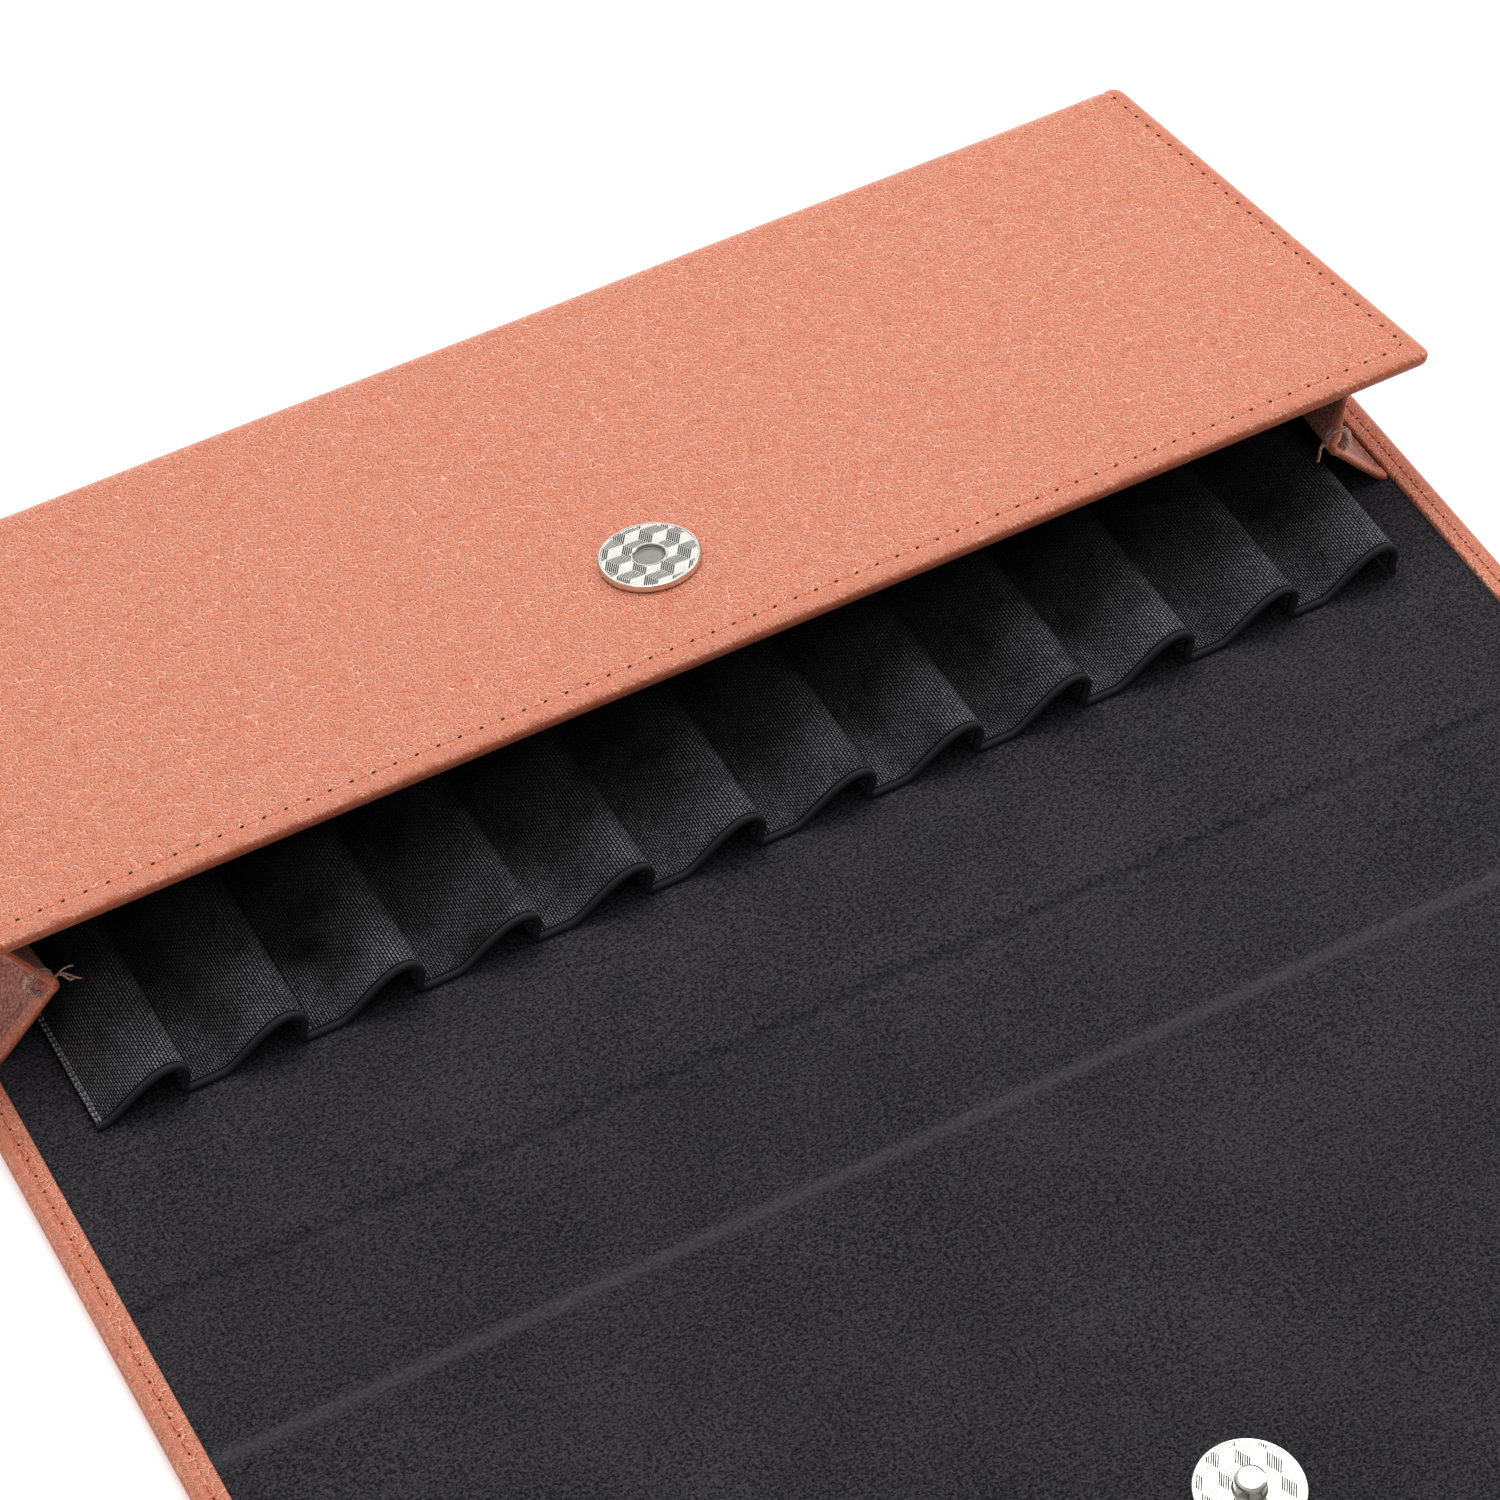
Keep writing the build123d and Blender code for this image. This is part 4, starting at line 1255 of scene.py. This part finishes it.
@dataclass
class PenLoops:
    """The elastic band, its loops, its rolled hem and the seams that hold it."""

    frame: Frame
    kit: Kit
    stitches: StitchTree
    half_thickness: float = 0.56 * MM
    last_lean: float = -0.7 * MM
    last_foot_back: float = 0.6      # in millimetres, as are the loop's points
    loop_top: float = 8.05
    rows: int = 26
    tall_spread: float = 0.05
    lean_spread: float = 0.35
    most_slack: float = 0.07
    seed: int = 11

    # one loop's middle line, (across, up) in millimetres from its left foot
    loop: tuple = ((0.0, 0.62), (1.7, 0.72), (3.6, 1.75), (6.3, 4.1), (9.3, 6.5), (12.2, 8.0), (14.5, 8.05),
                   (16.0, 6.8), (16.45, 4.9), (16.0, 2.7), (15.95, 1.25), (16.9, 0.66))
    # the hem's half section, (across the band, out) in millimetres
    hem: tuple = ((0.0, 0.0), (0.06, 0.3), (0.2, 0.55), (0.42, 0.7), (0.68, 0.75), (0.95, 0.66), (1.15, 0.46),
                  (1.28, 0.3), (1.42, 0.3), (1.6, 0.46), (1.9, 0.56))

    def middle_line(self) -> tuple[Array, Array, Array]:
        """The band's middle line, across the case and up.

        Returns:
            Points in metres above the lining, which loop each belongs to, and its height as a
            share of the loop's top.
        """
        points = []
        for number in range(self.frame.loop_count):
            foot = number * self.frame.loop_pitch / MM
            points += [(foot + x, z, number) for x, z in self.loop]
        points[-1] = (points[-1][0] - self.last_foot_back, self.loop[0][1], number)
        line = smooth_line(points, 4)
        return line[:, :2] * MM, np.floor(line[:, 2] + 0.5).astype(int), line[:, 1] / self.loop_top

    def build(self) -> None:
        """Make the band, its end seam and its tack seams."""
        f = self.frame
        line, number, lift = self.middle_line()
        step = np.gradient(line, axis=0)
        length = np.concatenate([[0], np.cumsum(np.hypot(*np.diff(line, axis=0).T))])
        normal = np.stack([-step[:, 1], step[:, 0]], axis=1) / np.hypot(*step.T)[:, None]
        width = f.band_high.y - f.band_low.y
        hem = np.array(self.hem) * MM
        middle = np.linspace(3 * MM, width - 0.5 * MM, self.rows)
        across = np.concatenate([hem[:, 0], middle, [width - 0.15 * MM, width]])
        out = np.concatenate([hem[:, 1], np.full(self.rows, self.half_thickness), [0.35 * MM, 0.0]])
        random = np.random.default_rng(self.seed)
        tall = 1 + random.uniform(-self.tall_spread, self.tall_spread, f.loop_count)
        lean = random.uniform(-self.lean_spread, self.lean_spread, f.loop_count) * MM
        lean[-1] = self.last_lean
        slack = random.uniform(0.0, self.most_slack, f.loop_count)
        share = across / width
        rise = tall[number][:, None] * (1 - slack[number][:, None] * np.sin(math.pi * share)[None, :])
        rise = 1 + (rise - 1) * np.clip(lift, 0, 1)[:, None]
        shift = (lean[number] * np.clip(lift, 0, 1))[:, None] * (1 - share[None, :])
        faces = []
        for side in (1, -1):
            x = f.band_low.x + line[:, :1] + shift + side * normal[:, :1] * out[None, :]
            z = f.stack + line[:, 1:] * rise + side * normal[:, 1:] * out[None, :]
            y = np.broadcast_to(f.band_low.y + across[None, :], x.shape)
            faces.append(np.stack([x, y, z], axis=-1))
        uv = np.stack(np.meshgrid(length, across, indexing="ij"), axis=-1)
        band = new_object("elastic_band", slab("elastic_band", *faces, uv=uv), self.kit.elastic)
        nodes = [f"pen_loop_{n + 1:02d}" for n in range(f.loop_count)]
        settle(band, nodes, body="back")
        self.sew_down(width)

    def sew_down(self, width: float) -> None:
        """Make the tack seams between the loops, and the close seam at the band's end."""
        f = self.frame
        up = (0.0, 0.0, 1.0)
        top = f.stack + self.loop[0][1] * MM + self.half_thickness
        first = f.band_low.x + (self.loop[-1][0] + 1.3) * MM
        tacks = [np.array([(first + n * f.loop_pitch, f.band_low.y + y, top + 0.02 * MM)
                           for y in (2.2 * MM, width - 1 * MM)]) for n in range(f.loop_count - 1)]
        black = self.kit.black_thread
        piece = self.stitches.make("tack_stitches", tacks, Pitch=2.6 * MM, Share=0.9, Thread_Radius=0.15 * MM,
                                   Rise=0.25 * MM, Hole_Size=(0.2 * MM, 0.2 * MM, 0.08 * MM), Slant=0.0,
                                   Normal=up, Thread=black, Hole=black)
        settle(piece, ["loop_tack_thread"], body="back")
        ends = [np.array([(f.band_low.x + x * MM, f.band_low.y + y, top + 0.03 * MM)
                          for y in (1.8 * MM, width - 1 * MM)]) for x in (0.45, 1.05)]
        piece = self.stitches.make("band_end_stitches", ends, Pitch=1.15 * MM, Share=0.7,
                                   Thread_Radius=0.2 * MM, Rise=0.5 * MM,
                                   Hole_Size=(0.1 * MM, 0.12 * MM, 0.04 * MM), Slant=0.0, Normal=up,
                                   Thread=self.kit.pale_thread, Hole=black)
        settle(piece, body="back")


class Side(Enum):
    """The two sides of the case."""

    LEFT = -1
    RIGHT = 1


@dataclass
class Gusset:
    """One gusset: two halves that meet in a rounded fold, and the thread tied round it."""

    frame: Frame
    kit: Kit
    strands: StrandTree
    side: Side
    thickness: float = 0.9 * MM
    hem_width: float = 2.6 * MM
    hem_swell: float = 0.22 * MM
    nose_room: float = 0.3 * MM
    set_back: float = 10 * MM
    set_back_reach: float = 40 * MM
    turns: int = 5
    frayed: int = 4
    wrap_radius: float = 2.1 * MM
    thread_radius: float = 0.4 * MM
    strand_radius: float = 0.17 * MM
    seed: int = 5

    def fold_at(self, y):
        """Where the fold between the halves lies at a distance along the case: up, and across."""
        f = self.frame
        middle = f.bend_radius + (f.bend_y - y) * math.tan(f.tilt / 2)
        run = (middle - f.gusset_hinge.z) / math.tan(f.gusset_angle)
        return middle, f.gusset_hinge.x - run + self.nose_room

    def half(self, upper: bool) -> tuple[Array, Array, Array]:
        """Points of the two faces of one half; the upper one is cut back under the front panel.

        Args:
            upper: Whether it is the half on the front panel.

        Returns:
            Points of the outer and the inner face, and (height, distance from the mouth edge).
        """
        f = self.frame
        ys = fine_lines(f.gusset_start_y - 0.6 * MM, f.gusset_end_y, 4 * MM,
                        [(f.gusset_start_y + 1 * MM, 1.6 * MM, 0.2 * MM)])
        middle, nose_x = self.fold_at(ys)
        foot_x, foot_z = f.gusset_hinge.x - 0.15 * MM, f.gusset_hinge.z - 1.2 * MM
        lines = []
        for y, mid, nose in zip(ys, middle, nose_x):
            run, rise = foot_x - nose, mid - foot_z
            plan = [(foot_x, foot_z), (foot_x - 0.09 * run, foot_z + 0.03 * rise),
                    (foot_x - 0.45 * run, foot_z + 0.40 * rise), (foot_x - 0.88 * run, foot_z + 0.86 * rise),
                    (nose + 0.012 * run, mid - 0.05 * rise), (nose, mid)]
            line = smooth_line(plan, 6)
            lines.append(np.stack([line[:, 0], np.full(len(line), y), line[:, 1]], axis=-1))
        core = np.stack(lines, axis=1)
        across = np.gradient(core, axis=0)
        normal = np.stack([across[..., 2], 0 * across[..., 0], -across[..., 0]], axis=-1)
        normal /= np.linalg.norm(normal, axis=-1, keepdims=True)
        from_mouth = ys - ys[0]
        swell = np.where(from_mouth < self.hem_width, self.hem_swell, 0.0)
        edge = np.sqrt(np.clip(1 - (1 - np.clip(from_mouth / (0.6 * MM), 0, 1)) ** 2, 0.02, 1))
        offset = ((self.thickness / 2 + swell) * edge)[None, :, None]
        faces = [core + normal * offset, core - normal * offset]
        if upper:
            hinge_share = (core[..., 0] - nose_x[None, :]) / (foot_x - nose_x[None, :])
            near_mouth = np.clip(1 - from_mouth / self.set_back_reach, 0, 1)
            back = self.set_back * hinge_share * near_mouth[None, :]
            faces = [self.folded(p + back[..., None] * np.array([0.0, 1.0, 0.0])) for p in faces]
        across, depth = core[..., 2], 0 * core[..., 0] + from_mouth
        uv = np.stack([across, depth, across, depth], axis=-1)
        return self.on_side(faces[0]), self.on_side(faces[1]), uv

    def folded(self, points: Array) -> Array:
        """Mirror points of the lower half in the plane half-way to the front panel."""
        f = self.frame
        normal = np.array([0, math.sin(f.tilt / 2), math.cos(f.tilt / 2)])
        away = (points - np.array([0, f.bend_y, f.bend_radius])) @ normal
        return points - 2 * away[..., None] * normal

    def on_side(self, points: Array) -> Array:
        """Mirror points across the case for the left gusset."""
        return points * np.array([self.side.value, 1, 1])

    def build(self) -> None:
        """Make both halves and the tied thread."""
        label = self.side.name.lower()
        for upper in (False, True):
            part = "upper" if upper else "lower"
            outer, inner, uv = self.half(upper)
            mesh = slab(f"gusset_{label}_{part}_leather", outer, inner, uv=uv)
            mesh.materials.append(self.kit.gusset)
            mesh.materials.append(self.kit.leather)
            from_mouth = mesh.uv_layers.active.data
            for face in mesh.polygons:
                place = sum(from_mouth[i].uv.y for i in face.loop_indices) / len(face.loop_indices)
                face.material_index = int(place < self.hem_width)
            piece = new_object(mesh.name, mesh)
            node = f"gusset_{label}_{part}"
            settle(piece, [node], body=node)
        self.tie(label)

    def tie(self, label: str) -> None:
        """Wrap thread round the fold near the mouth, and leave its ends frayed."""
        f = self.frame
        random = np.random.default_rng(self.seed + self.side.value)
        y = f.gusset_start_y + 1.6 * MM
        middle, nose = self.fold_at(y)
        centre = np.array([nose + 1.9 * MM, y, middle])
        paths = []
        for _ in range(self.turns):
            spread = random.uniform(-1, 1, 3) * np.array([0.35, 0.5, 0.35]) * MM
            angle = np.linspace(0, 2 * math.pi, 22)
            tip = random.uniform(-0.3, 0.3)
            loop = np.stack([self.wrap_radius * np.cos(angle), 0.6 * MM * np.sin(angle + tip) + tip * MM,
                             self.wrap_radius * np.sin(angle)], axis=-1)
            paths.append(centre + spread + loop)
        for _ in range(self.frayed):
            reach = random.uniform(1.6, 4.6) * MM
            lift, drift = random.uniform(-0.5, 0.9), random.uniform(-0.9, 0.3)
            t = np.linspace(0, 1, 9)[:, None]
            way = np.array([[-reach, drift * 2.2 * MM, lift * 1.3 * MM]])
            curl = np.array([[0, 0.6 * MM, 0.5 * MM]]) * np.sin(t * random.uniform(2, 5))
            paths.append(centre + np.array([-2.2 * MM, -0.4 * MM, 0]) + way * t + curl)
        paths = [self.on_side(p) for p in paths]
        piece = self.strands.make(f"gusset_{label}_knot", paths[:self.turns], Radius=self.thread_radius,
                                  Sides=6, Finish=self.kit.knot)
        settle(piece, [f"gusset_{label}_tack"], body=f"gusset_{label}_upper")
        piece = self.strands.make(f"gusset_{label}_frayed_ends", paths[self.turns:],
                                  Radius=self.strand_radius, Sides=6, Finish=self.kit.knot)
        settle(piece, body=f"gusset_{label}_upper")


class SnapHalf(Enum):
    """The two halves of the magnetic snap."""

    SOCKET = "socket"
    STUD = "stud"


@dataclass
class Snap:
    """One half of the magnetic snap, engraved all over with stacked cubes."""

    frame: Frame
    kit: Kit
    strands: StrandTree
    half: SnapHalf
    height: float = 1.5 * MM
    hole_radius: float = 2.85 * MM
    stud_radius: float = 2.6 * MM
    stud_height: float = 3.0 * MM
    cube: float = 2.8 * MM
    cube_turn: float = -4.0
    face_margin: float = 0.06
    face_depth: float = 0.12 * MM

    def placing(self) -> tuple[Vector, list[Vector], str]:
        """The base of this half, its axes and its body."""
        f = self.frame
        if self.half is SnapHalf.STUD:
            axes = [Vector((1, 0, 0)), Vector((0, 1, 0)), Vector((0, 0, 1))]
            return Vector((0, f.stud_y, f.stack)), axes, "flap"
        back = Vector((0, math.cos(f.tilt), -math.sin(f.tilt)))
        out = Vector((0, math.sin(f.tilt), math.cos(f.tilt)))
        start = Vector((0, f.bend_y, f.bend_radius)) + f.bend_radius * out
        return start - f.socket_along * back, [Vector((1, 0, 0)), back, out], "front_panel"

    def profile(self) -> list[tuple]:
        """Section of the cap: a thin raised rim, a flat face and a hole or a stud."""
        r, h = self.frame.snap_radius, self.height
        face = h - self.face_depth
        rim = [(r - 0.25 * MM, 0), (r, 0.3 * MM), (r, h - 0.3 * MM), (r - 0.07 * MM, h - 0.07 * MM),
               (r - 0.2 * MM, h), (r - 0.4 * MM, h), (r - 0.5 * MM, face)]
        if self.half is SnapHalf.SOCKET:
            hole = self.hole_radius
            floor = h - 0.9 * MM
            inner = [(hole + 0.4 * MM, face), (hole + 0.3 * MM, h), (hole + 0.12 * MM, h),
                     (hole, face), (hole, floor + 0.1 * MM), (hole - 0.2 * MM, floor),
                     (hole - 0.45 * MM, floor), (hole - 0.55 * MM, floor + 0.12 * MM),
                     (hole - 0.8 * MM, floor + 0.12 * MM), (0.0, floor + 0.1 * MM), (0.0, 0.0)]
        else:
            stud, top = self.stud_radius, h + self.stud_height
            inner = [(stud + 0.3 * MM, face), (stud, h + 0.2 * MM), (stud, top - 0.6 * MM),
                     (stud - 0.18 * MM, top - 0.2 * MM), (stud - 0.6 * MM, top), (0.0, top), (0.0, 0.0)]
        return rim + inner

    def hatching(self) -> tuple[list[Array], list[Array]]:
        """Engraved lines of the dark and of the light faces of the cubes, cut off at the rims.

        Returns:
            Paths of the dark lines and of the light lines, flat on the face.
        """
        inner = (self.hole_radius if self.half is SnapHalf.SOCKET else self.stud_radius) + 0.45 * MM
        outer = self.frame.snap_radius - 0.62 * MM
        angles = np.radians(np.array([60.0, 180.0, 300.0]) + self.cube_turn)
        spoke = self.cube * np.stack([np.cos(angles), np.sin(angles)], axis=1)
        step = [spoke[0] - spoke[1], spoke[1] - spoke[2]]
        dark, light = [], []
        faces = ((dark, spoke[2], spoke[0], 7), (light, spoke[1], spoke[2], 8))
        m = self.face_margin
        for i in range(-5, 6):
            for j in range(-5, 6):
                corner = i * step[0] + j * step[1]
                for kind, across, run, count in faces:
                    for share in np.linspace(m, 1 - m, count):
                        kind += self.clip(corner + share * across + m * run,
                                          corner + share * across + (1 - m) * run, inner, outer)
        return dark, light

    @staticmethod
    def clip(begin: Array, end: Array, inner: float, outer: float) -> list[Array]:
        """Keep the stretches of a line that lie between two circles."""
        t = np.linspace(0, 1, 25)
        points = begin + t[:, None] * (end - begin)
        radius = np.hypot(*points.T)
        keep = (radius > inner) & (radius < outer)
        runs, start = [], None
        for k, inside in enumerate([*keep, False]):
            if inside and start is None:
                start = k
            if not inside and start is not None:
                if k - start > 3:
                    runs.append(points[[start, k - 1]])
                start = None
        return runs

    def build(self) -> None:
        """Make the cap and its engraving."""
        base, axes, body = self.placing()
        name = self.half.value
        mesh = lathe(f"snap_{name}_cap", self.profile(), 96, base, axes)
        cap = new_object(mesh.name, mesh, self.kit.nickel, crease=22.0)
        if self.half is SnapHalf.SOCKET:
            mesh.materials.append(self.kit.seat)
            for face in mesh.polygons:
                lift = (face.center - base).dot(axes[2])
                off_axis = (face.center - base - lift * axes[2]).length
                face.material_index = int(off_axis < self.hole_radius - 0.1 * MM and lift > 0.1 * MM)
        settle(cap, [f"snap_{name}"], body=body)
        across, along, up = (np.array(a) for a in axes)
        level = np.array(base) + (self.height - self.face_depth) * up
        line_radii = {"dark": 0.125 * MM, "light": 0.07 * MM}
        for (kind, radius), flat in zip(line_radii.items(), self.hatching()):
            paths = [level + p[:, :1] * across + p[:, 1:] * along for p in flat]
            piece = self.strands.make(f"snap_{name}_{kind}_lines", paths, Radius=radius, Sides=6,
                                      Finish=self.kit.engraving)
            settle(piece, body=body)


@dataclass
class HiddenParts:
    """Nodes that keep their CAD shape and get a finish of their own."""

    nodes: dict
    kit: Kit

    def build(self) -> None:
        """Dress the boards, the washers and the magnet."""
        finishes = {"board": self.kit.board, "washer": self.kit.nickel, "magnet": self.kit.ferrite}
        for name, node in self.nodes.items():
            finish = finishes.get(name.rsplit("_", 1)[-1])
            if finish is not None and not node.hide_render:
                node.data.materials.clear()
                node.data.materials.append(finish)
                log.info("%s keeps its CAD shape", name)


# ------------------------------------------------------------------ studio


@dataclass
class Studio:
    """Plain floor, soft light and the camera."""

    azimuth: float = -28.03
    elevation: float = 49.78
    roll: float = -0.8
    distance: float = 848.5 * MM
    lens: float = 117.25
    target: tuple = (4.6 * MM, 44.4 * MM, 2.6 * MM)

    def build(self) -> None:
        """Make the camera, the floor and the lights."""
        self.place_camera()
        self.lay_floor()
        self.light()

    def place_camera(self) -> None:
        """Look at the mouth of the case from the front left."""
        a, e = math.radians(self.azimuth), math.radians(self.elevation)
        back = Vector((math.sin(a) * math.cos(e), -math.cos(a) * math.cos(e), math.sin(e)))
        data = bpy.data.cameras.new("camera")
        data.lens = self.lens
        camera = bpy.data.objects.new("camera", data)
        bpy.context.scene.collection.objects.link(camera)
        camera.rotation_mode = "QUATERNION"
        turn = Quaternion((0, 0, 1), math.radians(self.roll))
        camera.rotation_quaternion = (-back).to_track_quat("-Z", "Y") @ turn
        camera.location = Vector(self.target) + back * self.distance
        bpy.context.scene.camera = camera

    def lay_floor(self) -> None:
        """A wide white floor just under the case."""
        mesh = bpy.data.meshes.new("floor")
        size, level = 3.0, -0.3 * MM
        corners = [(x * size, y * size, level) for x, y in ((-1, -1), (1, -1), (1, 1), (-1, 1))]
        mesh.from_pydata(corners, [], [(0, 1, 2, 3)])
        material = bpy.data.materials.new("white_floor")
        material.use_nodes = True
        shader = material.node_tree.nodes["Principled BSDF"]
        shader.inputs["Base Color"].default_value = (0.93, 0.93, 0.93, 1)
        shader.inputs["Roughness"].default_value = 0.8
        shader.inputs["Emission Color"].default_value = (1, 1, 1, 1)
        shader.inputs["Emission Strength"].default_value = 0.35
        new_object("floor", mesh, material, smooth=False)

    def light(self) -> None:
        """A bright even room, with a large soft light above and a smaller one from the side."""
        world = bpy.data.worlds.new("room")
        bpy.context.scene.world = world
        world.use_nodes = True
        tree = Tree(world.node_tree)
        ray = tree.add("ShaderNodeSeparateXYZ", Vector=tree.add("ShaderNodeTexCoord").outputs["Generated"])
        sky = tree.mix(tree.smooth_step(ray.outputs["Z"], 0.0, 0.75), (0.12, 0.12, 0.12), (1.0, 1.0, 1.0))
        front = tree.smooth_step(ray.outputs["Y"], 0.2, -0.7)
        sky = tree.mix(tree.math("MULTIPLY", front, 0.55), sky, (0.1, 0.1, 0.1))
        background = world.node_tree.nodes["Background"]
        tree.feed(background.inputs["Color"], sky)
        background.inputs["Strength"].default_value = 0.62
        lamps = (
            ("top_light", (0.1, 0.5, 1.0), 0.7, 7.8),
            ("side_light", (-0.9, -0.45, 0.8), 0.5, 0.5),
            ("back_light", (0.4, 1.1, 0.66), 0.8, 1.5),
            ("right_light", (0.95, 0.1, 0.7), 0.6, 3.0),
        )
        for name, place, size, power in lamps:
            data = bpy.data.lights.new(name, "AREA")
            data.shape, data.size, data.energy = "SQUARE", size, power
            lamp = bpy.data.objects.new(name, data)
            bpy.context.scene.collection.objects.link(lamp)
            lamp.location = place
            lamp.rotation_euler = (-Vector(place)).to_track_quat("-Z", "Y").to_euler()
        bpy.context.scene.view_settings.view_transform = "Standard"


def main() -> None:
    """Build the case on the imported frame."""
    logging.basicConfig(level=logging.INFO, format="%(name)s %(message)s")
    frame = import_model()
    sizes, kit = Frame.read(frame), Kit()
    stitches, strands = StitchTree("stitches"), StrandTree("strands")
    Studio().build()
    Covers(sizes, kit).build()
    Seams(sizes, kit, stitches).build()
    PenLoops(sizes, kit, stitches).build()
    for side in Side:
        Gusset(sizes, kit, strands, side).build()
    for half in SnapHalf:
        Snap(sizes, kit, strands, half).build()
    HiddenParts(frame["nodes"], kit).build()


if __name__ == "__main__":
    main()
